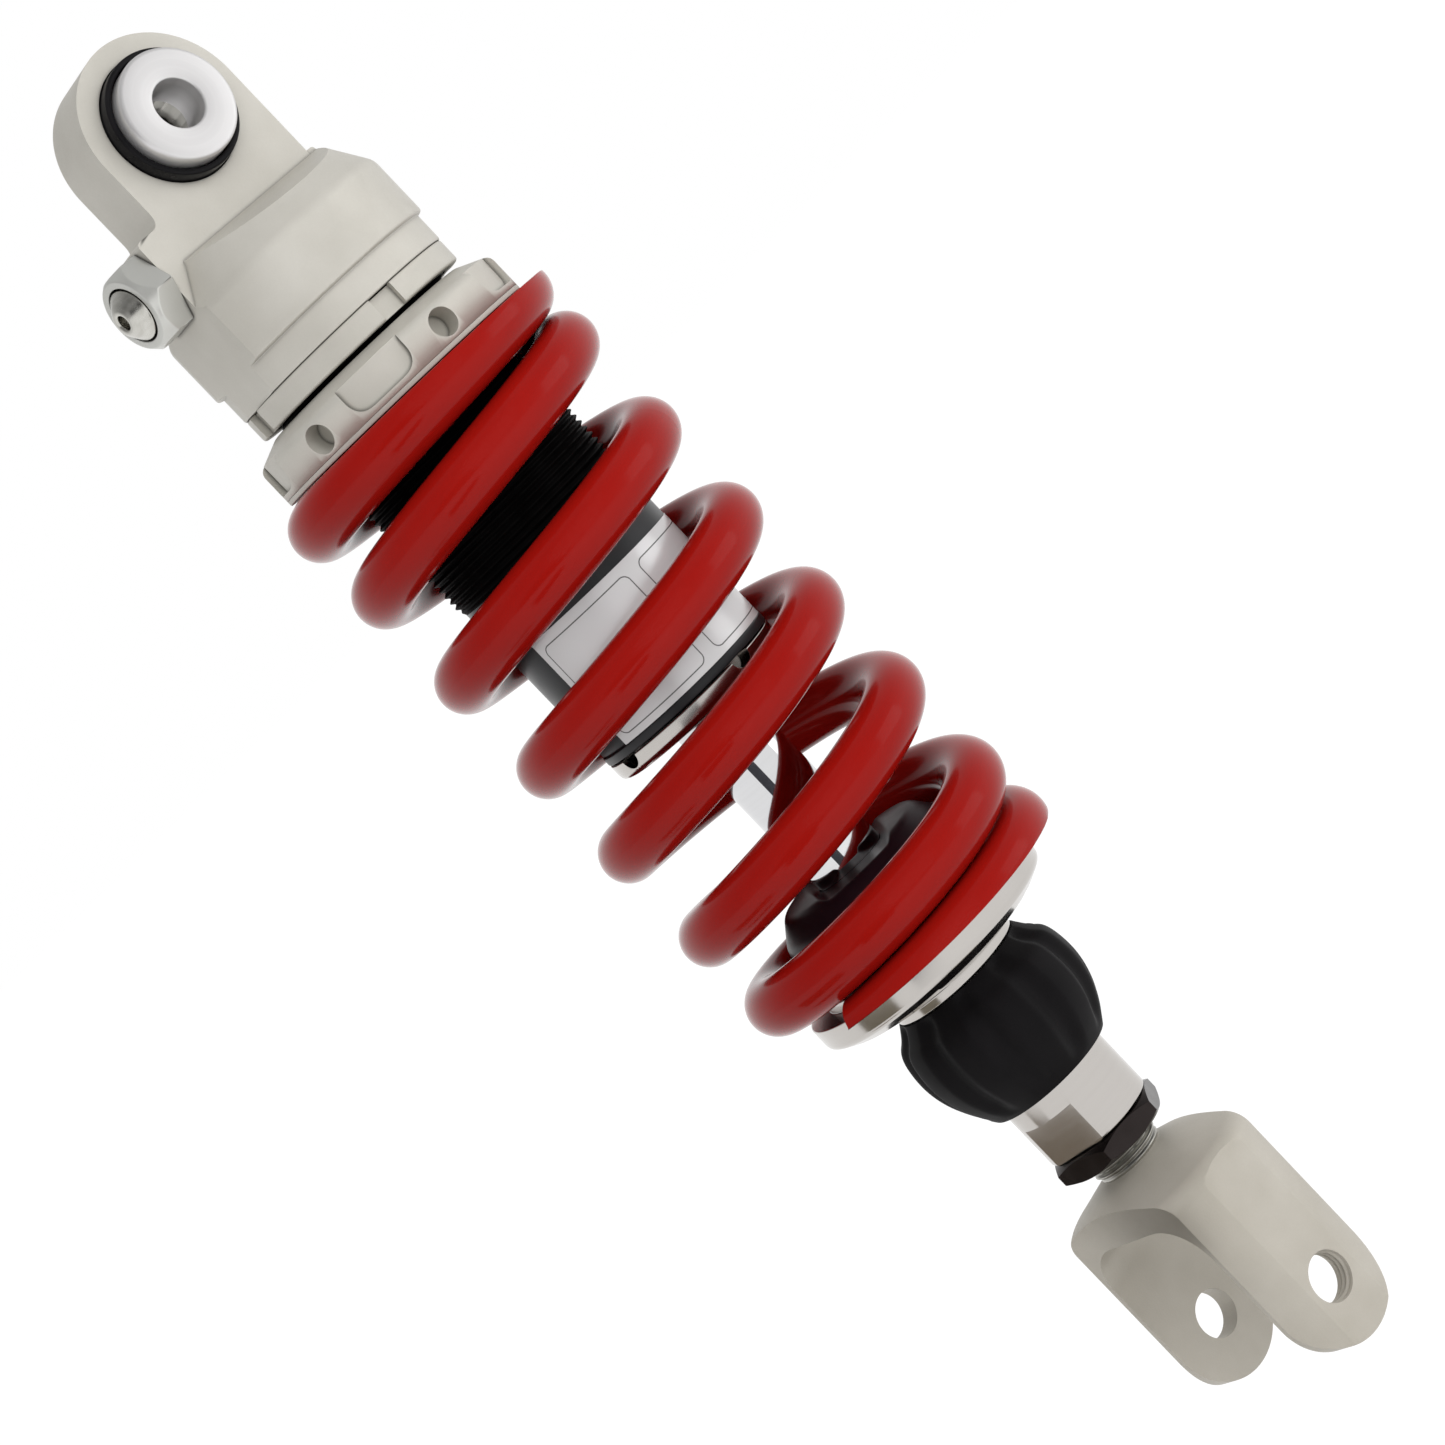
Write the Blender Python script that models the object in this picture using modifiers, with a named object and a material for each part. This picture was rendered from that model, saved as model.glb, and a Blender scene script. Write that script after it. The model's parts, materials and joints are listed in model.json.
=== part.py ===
"""Motorcycle rear shock absorber: a coil spring over a gas-charged damper.

Frame: the origin is the centre of the upper eye, -Z runs down the damper to the
clevis, both mounting bolts lie along Y and the gas valve points along -X.
Lengths are in metres; every size below is written in millimetres times MM.
"""

import math

import bmesh
import bpy
from mathutils import Matrix, Vector

MM = 0.001

# ---- fits ----
CLEARANCE = 0.3 * MM            # gap left between pieces that touch or run in each other
BOLT_HOLE_RADIUS = 5.15 * MM    # clearance for an M10 mounting bolt, both ends
CUT_MARGIN = 2.0 * MM           # how far a cutter runs past the face it opens

# ---- coil spring ----
SPRING_TUBE_GAP = 2.1 * MM      # between the coils and the tube's thread
SPRING_LENGTH = 143.8 * MM
WIRE_DIAMETER = 12.3 * MM
SPRING_TURNS = 7.6
CLOSED_TURNS = 1.25             # nearly touching turns at each end
TIP_THICKNESS = 3.75 * MM       # left of the wire's tip by grinding
SPRING_FOOT_ANGLE = -161.5      # degrees from +X, where the lowest tip of the wire lies
POINTS_PER_TURN = 20

# ---- damper tube ----
TUBE_BORE_RADIUS = 18.0 * MM
TUBE_WALL = 2.7 * MM
THREAD_HEIGHT = 0.9 * MM        # thread's crest above the plain part
TUBE_LENGTH = 96.3 * MM         # below the head
THREAD_LENGTH = 55.7 * MM       # below the head
TUBE_ENGAGEMENT = 10.5 * MM     # inside the head

# ---- head with the upper eye ----
EYE_WALL = 4.4 * MM
SLAB_THICKNESS = 14.4 * MM      # of the eye and of the valve boss below it
LEDGE_DROP = 22.4 * MM          # eye centre to the ledge where the slab meets the body
LEDGE_SLOPE = 15.0              # degrees, falls away from the slab
SHOULDER_HEIGHT = 9.6 * MM
SHOULDER_INSET = 5.5 * MM       # inside the head's full radius
HEAD_STEP = 1.2 * MM            # head's radius outside the skirt
HEAD_CYLINDER_HEIGHT = 13.0 * MM
SKIRT_WALL = 3.9 * MM
SKIRT_HEIGHT = 6.5 * MM
VALVE_FLAT_DEPTH = 2.0 * MM     # milled flat on the -X side
VALVE_DROP = 23.3 * MM          # eye centre to the valve's axis
BOSS_RISE = 8.8 * MM            # boss above the valve's axis
BOSS_FILLET = 5.0 * MM
GAS_CHAMBER_STEP = 2.0 * MM     # chamber's radius inside the tube's bore
GAS_CHAMBER_HEIGHT = 5.0 * MM
GALLERY_RADIUS = 1.8 * MM

# ---- gas valve ----
VALVE_HEX = 16.0 * MM           # across flats
VALVE_HEX_LENGTH = 6.4 * MM
VALVE_SHANK_RADIUS = 5.0 * MM
VALVE_SHANK_LENGTH = 10.0 * MM
PLUG_RADIUS = 5.5 * MM
PLUG_DEPTH = 3.5 * MM
PLUG_CONE = 2.8 * MM            # stands proud of the hexagon
PLUG_TIP_RADIUS = 2.6 * MM
PLUG_SOCKET = 3.0 * MM          # across flats

# ---- eye bush ----
SPIGOT_WALL = 1.35 * MM         # of the spacers' spigots in the sleeve
SPIGOT_LENGTH = 4.0 * MM
SLEEVE_WALL = 2.2 * MM
SLEEVE_PROUD = 0.6 * MM         # beyond the eye's face, each side
RUBBER_WALL = 4.0 * MM
RUBBER_INSET = 0.4 * MM         # below the eye's face
RUBBER_LIP = 3.5 * MM           # lip round each spacer, above the rest of the rubber
SPACER_RIM = 2.8 * MM           # flange outside the sleeve
SPACER_FLANGE = 5.4 * MM

# ---- preload adjuster ----
LOCK_RING_INSET = 0.2 * MM      # inside the head's skirt
LOCK_RING_HEIGHT = 4.8 * MM
LOCK_RING_SLOTS = 4
LOCK_RING_SLOT_WIDTH = 5.6 * MM
LOCK_RING_SLOT_DEPTH = 1.8 * MM
LOCK_RING_SLOT_ANGLE = -100.5   # degrees from +X of the first slot
THREAD_GAP = 1.0 * MM           # thread seen between lock ring and collar
COLLAR_HEIGHT = 10.0 * MM
COLLAR_CROWN_WALL = 2.1 * MM
COLLAR_CROWN_HEIGHT = 2.6 * MM
COLLAR_OVERHANG = 0.65 * MM     # collar's rim outside the middle of the wire
COLLAR_POCKETS = 5
COLLAR_POCKET_WIDTH = 15.6 * MM
COLLAR_POCKET_DEPTH = 1.9 * MM
COLLAR_POCKET_FOOT = 1.7 * MM   # rim left below a pocket
COLLAR_POCKET_CORNER = 3.2 * MM
COLLAR_POCKET_ANGLE = -126.0    # degrees from +X of the first pocket
COLLAR_HOLE_RADIUS = 3.0 * MM
COLLAR_HOLE_DEPTH = 3.8 * MM
COLLAR_HOLE_DROP = 6.5 * MM     # collar's top to the hole's centre
COLLAR_HOLE_ANGLES = (31.5, 105.0, 180.0, 255.0, 328.5)   # from the first pocket
WASHER_THICKNESS = 1.0 * MM

# ---- seal head at the foot of the tube ----
SEAL_HEAD_PROUD = 0.2 * MM      # flange outside the tube
SEAL_HEAD_FLANGE = 3.9 * MM
SEAL_HEAD_SPIGOT = 8.0 * MM
SEAL_HEAD_NOTCH_RADIUS = 2.5 * MM
SEAL_HEAD_NOTCH_ANGLE = -88.5   # degrees from +X of the first notch
GUIDE_LENGTH = 5.0 * MM
GUIDE_WALL = 1.5 * MM
SEAL_WALL = 3.4 * MM
SEAL_HEIGHT = 3.0 * MM
WIPER_HEIGHT = 2.0 * MM

# ---- piston rod and piston ----
ROD_RADIUS = 8.0 * MM
ROD_BORE_RADIUS = 2.0 * MM
ROD_ENGAGEMENT = 17.4 * MM      # of the rod's foot in the shaft extension
STUD_RADIUS = 5.0 * MM          # of the rod's upper end, through the piston
NEEDLE_RADIUS = 1.6 * MM
BUMPER_HEIGHT = 4.0 * MM
BUMPER_RADIUS = 13.0 * MM
SHIM_STEPS = (13.0 * MM, 11.0 * MM, 9.0 * MM)
SHIM_THICKNESS = 0.5 * MM
STOP_WASHER_THICKNESS = 2.0 * MM
PISTON_HEIGHT = 12.0 * MM
PISTON_BAND_HEIGHT = 6.0 * MM
PISTON_BAND_WALL = 1.5 * MM
PISTON_PORTS = 6
PISTON_PORT_RADIUS = 1.8 * MM
PISTON_PORT_ANGLE = 7.0         # degrees from +X of the first port
PISTON_NUT_HEX = 17.0 * MM
PISTON_NUT_HEIGHT = 7.0 * MM
STUD_PROUD = 1.5 * MM

# ---- floating piston between oil and gas ----
FLOATING_DROP = 19.0 * MM       # tube's top to the piston's top
FLOATING_HEIGHT = 10.0 * MM
FLOATING_WALL = 3.0 * MM
ORING_RADIUS = 1.3 * MM

# ---- lower seat and bump stop ----
SEAT_INSET = 1.55 * MM          # seat's rim inside the middle of the wire
SEAT_RIM_HEIGHT = 5.0 * MM
SEAT_BEVEL = 4.0 * MM           # from the rim inwards
SEAT_BEVEL_HEIGHT = 2.2 * MM
SEAT_CONE_HEIGHT = 2.1 * MM
SEAT_CONE_STEP = 1.65 * MM      # cone's foot outside the neck
SEAT_NECK_WALL = 2.2 * MM
SEAT_NECK_HEIGHT = 2.1 * MM
SEAT_FLOOR = 5.0 * MM           # metal above the shaft extension
SEAT_SPIGOT_HEIGHT = 2.5 * MM
SEAT_SLOTS = 4
SEAT_SLOT_WIDTH = 9.0 * MM
SEAT_SLOT_DEPTH = 2.4 * MM
SEAT_SLOT_ANGLE = -146.5        # degrees from +X of the first slot
BUMP_HEIGHT = 18.0 * MM
BUMP_GAP = 2.4 * MM             # inside the coils
BUMP_FLARE = 4.4 * MM           # foot's radius outside the top's
BUMP_SHOULDER = 1.9 * MM        # middle of the flare outside the top
BUMP_CROWN_HEIGHT = 1.0 * MM    # top's rise towards the mouth
BUMP_SHOULDER_HEIGHT = 2.4 * MM
BUMP_FLARE_HEIGHT = 3.2 * MM
BUMP_DISH_DEPTH = 2.2 * MM      # mouth that clears the wiper at full travel
BUMP_CHANNEL_WIDTH = 17.0 * MM
BUMP_CHANNEL_DEPTH = 2.0 * MM
BUMP_CHANNEL_ANGLE = -123.5     # degrees from +X

# ---- rebound knob and shaft extension ----
KNOB_HEIGHT = 27.0 * MM
KNOB_WALL = 7.85 * MM           # at its widest
KNOB_FOOT_WALL = 1.65 * MM
KNOB_TOP_PROUD = 0.35 * MM      # top edge outside the seat's neck
KNOB_FLUTES = 10
KNOB_FLUTE_RADIUS = 4.5 * MM
KNOB_FLUTE_DEPTH = 1.6 * MM
KNOB_FLUTE_ANGLE = -132.5       # degrees from +X of the first flute
EXTENSION_RADIUS = 12.35 * MM
EXTENSION_EXPOSED = 14.5 * MM
EXTENSION_FLAT_DEPTH = 1.95 * MM
EXTENSION_FLATS_HEIGHT = 9.6 * MM
EXTENSION_FLATS_ANGLE = -162.5  # degrees from +X
EXTENSION_WEB = 2.5 * MM        # between the rod's socket and the clevis's thread

# ---- lock nut and clevis ----
STEM_RADIUS = 8.0 * MM          # M16 stem of the clevis
STEM_LENGTH = 32.0 * MM
LOCK_NUT_HEX = 24.0 * MM
LOCK_NUT_HEIGHT = 4.9 * MM
LOCK_NUT_ANGLE = -136.5         # degrees from +X of a corner
STEM_EXPOSED = 4.9 * MM
CLEVIS_DROP = 39.4 * MM         # top of the crown to the bolt's axis
CLEVIS_BAR_MARGIN = 1.0 * MM    # turned radius outside the ears' faces
CLEVIS_EAR_RADIUS = 14.0 * MM
CLEVIS_EAR_THICKNESS = 5.0 * MM
CLEVIS_SLOT_WIDTH = 34.0 * MM
CLEVIS_ROOT_DROP = 10.0 * MM    # top of the crown to the slot's root
CLEVIS_ROOT_RADIUS = 9.5 * MM
CLEVIS_CROWN_FALL = 4.4 * MM
CLEVIS_CROWN_ROUND = 4.6 * MM

# ---- facets of round pieces ----
LARGE_STEPS = 36
MEDIUM_STEPS = 24
SMALL_STEPS = 16

# ---- heights, from the eye's centre down ----
LEDGE_Z = -LEDGE_DROP
HEAD_TOP_Z = LEDGE_Z - SHOULDER_HEIGHT
SKIRT_TOP_Z = HEAD_TOP_Z - HEAD_CYLINDER_HEIGHT
HEAD_FOOT_Z = SKIRT_TOP_Z - SKIRT_HEIGHT
LOCK_RING_TOP_Z = HEAD_FOOT_Z - CLEARANCE
COLLAR_TOP_Z = LOCK_RING_TOP_Z - LOCK_RING_HEIGHT - THREAD_GAP
WASHER_TOP_Z = COLLAR_TOP_Z - COLLAR_HEIGHT - CLEARANCE
SPRING_TOP_Z = WASHER_TOP_Z - WASHER_THICKNESS - CLEARANCE
SPRING_FOOT_Z = SPRING_TOP_Z - SPRING_LENGTH
SEAT_TOP_Z = SPRING_FOOT_Z - CLEARANCE
SEAT_RIM_FOOT_Z = SEAT_TOP_Z - SEAT_RIM_HEIGHT
SEAT_CONE_TOP_Z = SEAT_RIM_FOOT_Z - SEAT_BEVEL_HEIGHT
SEAT_CONE_FOOT_Z = SEAT_CONE_TOP_Z - SEAT_CONE_HEIGHT
SEAT_FOOT_Z = SEAT_CONE_FOOT_Z - SEAT_NECK_HEIGHT
KNOB_TOP_Z = SEAT_FOOT_Z - CLEARANCE
KNOB_FOOT_Z = KNOB_TOP_Z - KNOB_HEIGHT
EXTENSION_TOP_Z = SEAT_TOP_Z - SEAT_FLOOR - CLEARANCE
EXTENSION_FOOT_Z = KNOB_FOOT_Z - EXTENSION_EXPOSED
LOCK_NUT_TOP_Z = EXTENSION_FOOT_Z - CLEARANCE
CLEVIS_TOP_Z = LOCK_NUT_TOP_Z - LOCK_NUT_HEIGHT - STEM_EXPOSED
CLEVIS_BOLT_Z = CLEVIS_TOP_Z - CLEVIS_DROP
TUBE_TOP_Z = HEAD_FOOT_Z + TUBE_ENGAGEMENT
TUBE_FOOT_Z = HEAD_FOOT_Z - TUBE_LENGTH
SEAL_HEAD_TOP_Z = TUBE_FOOT_Z + SEAL_HEAD_SPIGOT
BUMPER_FOOT_Z = SEAL_HEAD_TOP_Z + CLEARANCE
STOP_WASHER_FOOT_Z = BUMPER_FOOT_Z + BUMPER_HEIGHT + CLEARANCE
SHIM_STACK_HEIGHT = SHIM_THICKNESS * len(SHIM_STEPS)
REBOUND_SHIMS_FOOT_Z = STOP_WASHER_FOOT_Z + STOP_WASHER_THICKNESS + CLEARANCE
PISTON_FOOT_Z = REBOUND_SHIMS_FOOT_Z + SHIM_STACK_HEIGHT + CLEARANCE
COMPRESSION_SHIMS_FOOT_Z = PISTON_FOOT_Z + PISTON_HEIGHT + CLEARANCE
PISTON_NUT_FOOT_Z = COMPRESSION_SHIMS_FOOT_Z + SHIM_STACK_HEIGHT + CLEARANCE
STUD_TOP_Z = PISTON_NUT_FOOT_Z + PISTON_NUT_HEIGHT + STUD_PROUD
ROD_FOOT_Z = EXTENSION_TOP_Z - ROD_ENGAGEMENT

# ---- radii that follow from their neighbours ----
SLEEVE_BORE_RADIUS = BOLT_HOLE_RADIUS + SPIGOT_WALL + CLEARANCE
SLEEVE_OUTER_RADIUS = SLEEVE_BORE_RADIUS + SLEEVE_WALL
SLEEVE_LENGTH = SLAB_THICKNESS + 2 * SLEEVE_PROUD
SPACER_RADIUS = SLEEVE_OUTER_RADIUS + SPACER_RIM
SPACER_REACH = SLEEVE_LENGTH / 2 + CLEARANCE + SPACER_FLANGE
EYE_BORE_RADIUS = SLEEVE_OUTER_RADIUS + RUBBER_WALL + 2 * CLEARANCE
EYE_RADIUS = EYE_BORE_RADIUS + EYE_WALL
TUBE_RADIUS = TUBE_BORE_RADIUS + TUBE_WALL
THREAD_RADIUS = TUBE_RADIUS + THREAD_HEIGHT
SKIRT_RADIUS = THREAD_RADIUS + CLEARANCE + SKIRT_WALL
HEAD_RADIUS = SKIRT_RADIUS + HEAD_STEP
SHOULDER_RADIUS = HEAD_RADIUS - SHOULDER_INSET
VALVE_FLAT = HEAD_RADIUS - VALVE_FLAT_DEPTH
GAS_CHAMBER_RADIUS = TUBE_BORE_RADIUS - GAS_CHAMBER_STEP
LOCK_RING_RADIUS = SKIRT_RADIUS - LOCK_RING_INSET
SEAL_HEAD_RADIUS = TUBE_RADIUS + SEAL_HEAD_PROUD
WIRE_RADIUS = WIRE_DIAMETER / 2
COIL_RADIUS = THREAD_RADIUS + SPRING_TUBE_GAP + WIRE_RADIUS
SPRING_RADIUS = COIL_RADIUS + WIRE_RADIUS
COLLAR_RADIUS = COIL_RADIUS + COLLAR_OVERHANG
SEAT_RADIUS = COIL_RADIUS - SEAT_INSET
SEAT_SPIGOT_RADIUS = COIL_RADIUS - WIRE_RADIUS - 2 * CLEARANCE
SEAT_NECK_RADIUS = EXTENSION_RADIUS + CLEARANCE + SEAT_NECK_WALL
SEAT_CONE_RADIUS = SEAT_NECK_RADIUS + SEAT_CONE_STEP
BUMP_RADIUS = COIL_RADIUS - WIRE_RADIUS - BUMP_GAP
BUMP_TOP_RADIUS = BUMP_RADIUS - BUMP_FLARE
ADJUSTER_BORE_RADIUS = THREAD_RADIUS + CLEARANCE
COLLAR_CROWN_RADIUS = ADJUSTER_BORE_RADIUS + COLLAR_CROWN_WALL
ROD_HOLE_RADIUS = ROD_RADIUS + CLEARANCE
STUD_HOLE_RADIUS = STUD_RADIUS + CLEARANCE
STEM_HOLE_RADIUS = STEM_RADIUS + CLEARANCE
KNOB_BORE_RADIUS = EXTENSION_RADIUS + CLEARANCE
KNOB_RADIUS = KNOB_BORE_RADIUS + KNOB_WALL
KNOB_TOP_RADIUS = SEAT_NECK_RADIUS + KNOB_TOP_PROUD
KNOB_FOOT_RADIUS = KNOB_BORE_RADIUS + KNOB_FOOT_WALL
PISTON_RADIUS = TUBE_BORE_RADIUS - CLEARANCE
CLEVIS_HALF_WIDTH = CLEVIS_SLOT_WIDTH / 2 + CLEVIS_EAR_THICKNESS
CLEVIS_BAR_RADIUS = CLEVIS_HALF_WIDTH + CLEVIS_BAR_MARGIN

FINISHES = {
    "bead_blasted_aluminium": ((0.62, 0.60, 0.56), 0.45, 1.0),
    "turned_aluminium": ((0.80, 0.80, 0.79), 0.25, 1.0),
    "red_powder_coat": ((0.42, 0.015, 0.012), 0.22, 0.0),
    "black_anodised": ((0.012, 0.012, 0.013), 0.40, 0.6),
    "chrome": ((0.80, 0.80, 0.80), 0.05, 1.0),
    "steel": ((0.48, 0.47, 0.45), 0.30, 1.0),
    "blued_steel": ((0.03, 0.03, 0.035), 0.35, 0.8),
    "rubber": ((0.014, 0.013, 0.013), 0.70, 0.0),
    "elastomer": ((0.05, 0.04, 0.045), 0.60, 0.0),
    "black_plastic": ((0.010, 0.010, 0.010), 0.45, 0.0),
    "bronze": ((0.45, 0.30, 0.12), 0.35, 1.0),
    "ptfe": ((0.12, 0.10, 0.08), 0.50, 0.0),
}


# ---------------------------------------------------------------- scene helpers

def clear_scene():
    """Remove every object, so that the part starts from an empty scene."""
    for obj in list(bpy.data.objects):
        bpy.data.objects.remove(obj, do_unlink=True)


def new_collection(name):
    """Make a collection under the scene's own."""
    collection = bpy.data.collections.new(name)
    bpy.context.scene.collection.children.link(collection)
    return collection


def finish(name):
    """Return the named material, made from FINISHES on first use."""
    material = bpy.data.materials.get(name)
    if material is None:
        colour, roughness, metallic = FINISHES[name]
        material = bpy.data.materials.new(name)
        material.use_nodes = True
        shader = material.node_tree.nodes["Principled BSDF"]
        shader.inputs["Base Color"].default_value = (*colour, 1.0)
        shader.inputs["Roughness"].default_value = roughness
        shader.inputs["Metallic"].default_value = metallic
    return material


def carrier(name, parent=None, z=0.0):
    """Add the empty that carries one moving body, on the damper's axis at height z."""
    empty = bpy.data.objects.new(name, None)
    empty.empty_display_size = 10 * MM
    PART.objects.link(empty)
    empty.location.z = z
    attach(empty, parent)
    return empty


def attach(obj, parent):
    """Parent obj without moving it."""
    if parent is None:
        return
    bpy.context.view_layer.update()
    obj.parent = parent
    obj.matrix_parent_inverse = parent.matrix_world.inverted()


def as_mesh(obj):
    """Turn an object into a plain welded mesh, shaded smooth with sharp corners kept."""
    depsgraph = bpy.context.evaluated_depsgraph_get()
    mesh = bpy.data.meshes.new_from_object(obj.evaluated_get(depsgraph))
    welder = bmesh.new()
    welder.from_mesh(mesh)
    bmesh.ops.remove_doubles(welder, verts=welder.verts, dist=0.001 * MM)
    bmesh.ops.recalc_face_normals(welder, faces=welder.faces)
    welder.to_mesh(mesh)
    welder.free()
    mesh.shade_smooth()
    mesh.set_sharp_from_angle(angle=math.radians(35))
    name = obj.name
    matrix = obj.matrix_world.copy()
    collection = obj.users_collection[0]
    bpy.data.objects.remove(obj, do_unlink=True)
    solid = bpy.data.objects.new(name, mesh)
    solid.matrix_world = matrix
    collection.objects.link(solid)
    return solid


def make_cutter(obj):
    """Hide a solid that only shapes others."""
    obj.hide_render = True
    obj.display_type = "WIRE"
    return obj


def boolean(obj, tool, operation="DIFFERENCE"):
    """Cut, join or intersect obj with tool."""
    modifier = obj.modifiers.new(tool.name, "BOOLEAN")
    modifier.operation = operation
    modifier.solver = "EXACT"
    modifier.object = tool


def polar(radius, degrees, z=0.0):
    """Point at a radius and an angle from +X about the damper's axis."""
    angle = math.radians(degrees)
    return Vector((radius * math.cos(angle), radius * math.sin(angle), z))


def turned_about(axis):
    """Rotation that lays a shape made along Z along the named axis."""
    if axis == "X":
        return Matrix.Rotation(math.radians(90), 4, "Y")
    if axis == "Y":
        return Matrix.Rotation(math.radians(-90), 4, "X")
    return Matrix.Identity(4)


# ---------------------------------------------------------------- shape helpers

def turned(name, profile, steps, collection, z=0.0, axis="Z", origin=None):
    """Revolve a profile of (radius, height) points; it runs down its outer side."""
    mesh = bpy.data.meshes.new(name)
    on_axis = profile[0][0] == 0.0 and profile[-1][0] == 0.0
    points = [(radius, 0.0, height) for radius, height in profile]
    edges = [(i, i + 1) for i in range(len(points) - 1)]
    if not on_axis:
        edges.append((len(points) - 1, 0))
    mesh.from_pydata(points, edges, [])
    obj = bpy.data.objects.new(name, mesh)
    collection.objects.link(obj)
    obj.matrix_world = Matrix.Translation(origin or (0.0, 0.0, z)) @ turned_about(axis)
    screw = obj.modifiers.new("turn", "SCREW")
    screw.steps = steps
    screw.render_steps = steps
    screw.use_merge_vertices = True
    screw.merge_threshold = 0.001 * MM
    bpy.context.view_layer.update()
    return as_mesh(obj)


def ring_profile(inner, outer, height, chamfer=0.0):
    """Outline of a plain ring standing on z = 0, with its outer corners chamfered."""
    if chamfer == 0.0:
        return [(inner, height), (outer, height), (outer, 0.0), (inner, 0.0)]
    return [
        (inner, height),
        (outer - chamfer, height),
        (outer, height - chamfer),
        (outer, chamfer),
        (outer - chamfer, 0.0),
        (inner, 0.0),
    ]


def arc(centre_x, centre_y, radius, start, end, count):
    """Points on an arc from start to end, in degrees."""
    points = []
    for i in range(count + 1):
        angle = math.radians(start + (end - start) * i / count)
        points.append((centre_x + radius * math.cos(angle), centre_y + radius * math.sin(angle)))
    return points


def prism(name, outline, depth, collection, matrix):
    """Extrude a flat outline by depth, half to each side of its plane."""
    curve = bpy.data.curves.new(name, "CURVE")
    curve.dimensions = "2D"
    curve.fill_mode = "BOTH"
    curve.extrude = depth / 2
    spline = curve.splines.new("POLY")
    spline.points.add(len(outline) - 1)
    for point, (x, y) in zip(spline.points, outline):
        point.co = (x, y, 0.0, 1.0)
    spline.use_cyclic_u = True
    obj = bpy.data.objects.new(name, curve)
    collection.objects.link(obj)
    obj.matrix_world = matrix
    bpy.context.view_layer.update()
    return as_mesh(obj)


def hexagon(across_flats, first_corner=0.0):
    """Corners of a hexagon, the first at an angle in degrees."""
    return arc(0.0, 0.0, across_flats / math.sqrt(3), first_corner, first_corner + 300, 5)


def rounded_foot(width, top, foot, radius, count=4):
    """Outline of a slot that is open at the top and has two round lower corners."""
    half = width / 2
    outline = [(-half, top)]
    outline += arc(-half + radius, foot + radius, radius, 180, 270, count)
    outline += arc(half - radius, foot + radius, radius, 270, 360, count)
    outline.append((half, top))
    return outline


def side_plane(degrees=-90.0, distance=0.0, z=0.0):
    """Upright plane that faces away from the axis: its x is tangential, its y is up."""
    outward = polar(1.0, degrees)
    tangent = Vector((-outward.y, outward.x, 0.0))
    up = Vector((0.0, 0.0, 1.0))
    matrix = Matrix((tangent, up, outward)).transposed().to_4x4()
    matrix.translation = outward * distance + up * z
    return matrix


def rod_cutter(name, radius, length, origin, axis, steps=SMALL_STEPS):
    """Round cutter centred on origin, along the named axis."""
    profile = [(0.0, length / 2), (radius, length / 2), (radius, -length / 2), (0.0, -length / 2)]
    return make_cutter(turned(name, profile, steps, CUTTERS, axis=axis, origin=origin))


def radial_cutter(name, radius, inner, outer, degrees, z, steps=16):
    """Round cutter that lies along a radius of the damper."""
    length = outer - inner
    profile = [(0.0, length / 2), (radius, length / 2), (radius, -length / 2), (0.0, -length / 2)]
    cutter = turned(name, profile, steps, CUTTERS)
    cutter.matrix_world = side_plane(degrees, (inner + outer) / 2, z)
    return make_cutter(cutter)


def block_cutter(name, size, origin, degrees=0.0, tilt=0.0):
    """Box cutter centred on origin, tilted about X and then turned about Z."""
    mesh = bpy.data.meshes.new(name)
    maker = bmesh.new()
    bmesh.ops.create_cube(maker, size=1.0)
    bmesh.ops.scale(maker, vec=size, verts=maker.verts)
    maker.to_mesh(mesh)
    maker.free()
    obj = bpy.data.objects.new(name, mesh)
    CUTTERS.objects.link(obj)
    turn = Matrix.Rotation(math.radians(degrees), 4, "Z")
    lean = Matrix.Rotation(math.radians(tilt), 4, "X")
    obj.matrix_world = Matrix.Translation(origin) @ turn @ lean
    return make_cutter(obj)


def dress(obj, finish_name, body):
    """Give a finished piece its material and the body that carries it."""
    obj.data.materials.clear()
    obj.data.materials.append(finish(finish_name))
    attach(obj, body)
    return obj


# ---------------------------------------------------------------- head and eye

def head_outline():
    """Side view of the slab: round eye, straight sides, and the boss for the valve."""
    boss_top = -VALVE_DROP + BOSS_RISE
    foot = LEDGE_Z - SHOULDER_HEIGHT
    corner = 3.0 * MM
    outline = arc(0.0, 0.0, EYE_RADIUS, 180, 0, 24)
    outline.append((EYE_RADIUS, foot))
    outline.append((-VALVE_FLAT, foot))
    outline += arc(-VALVE_FLAT + corner, boss_top - corner, corner, 180, 90, 4)
    fillet_x = -EYE_RADIUS - BOSS_FILLET * 0.6
    outline += arc(fillet_x, boss_top + BOSS_FILLET * 0.6, BOSS_FILLET * 0.6, 270, 360, 4)
    return outline


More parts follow.
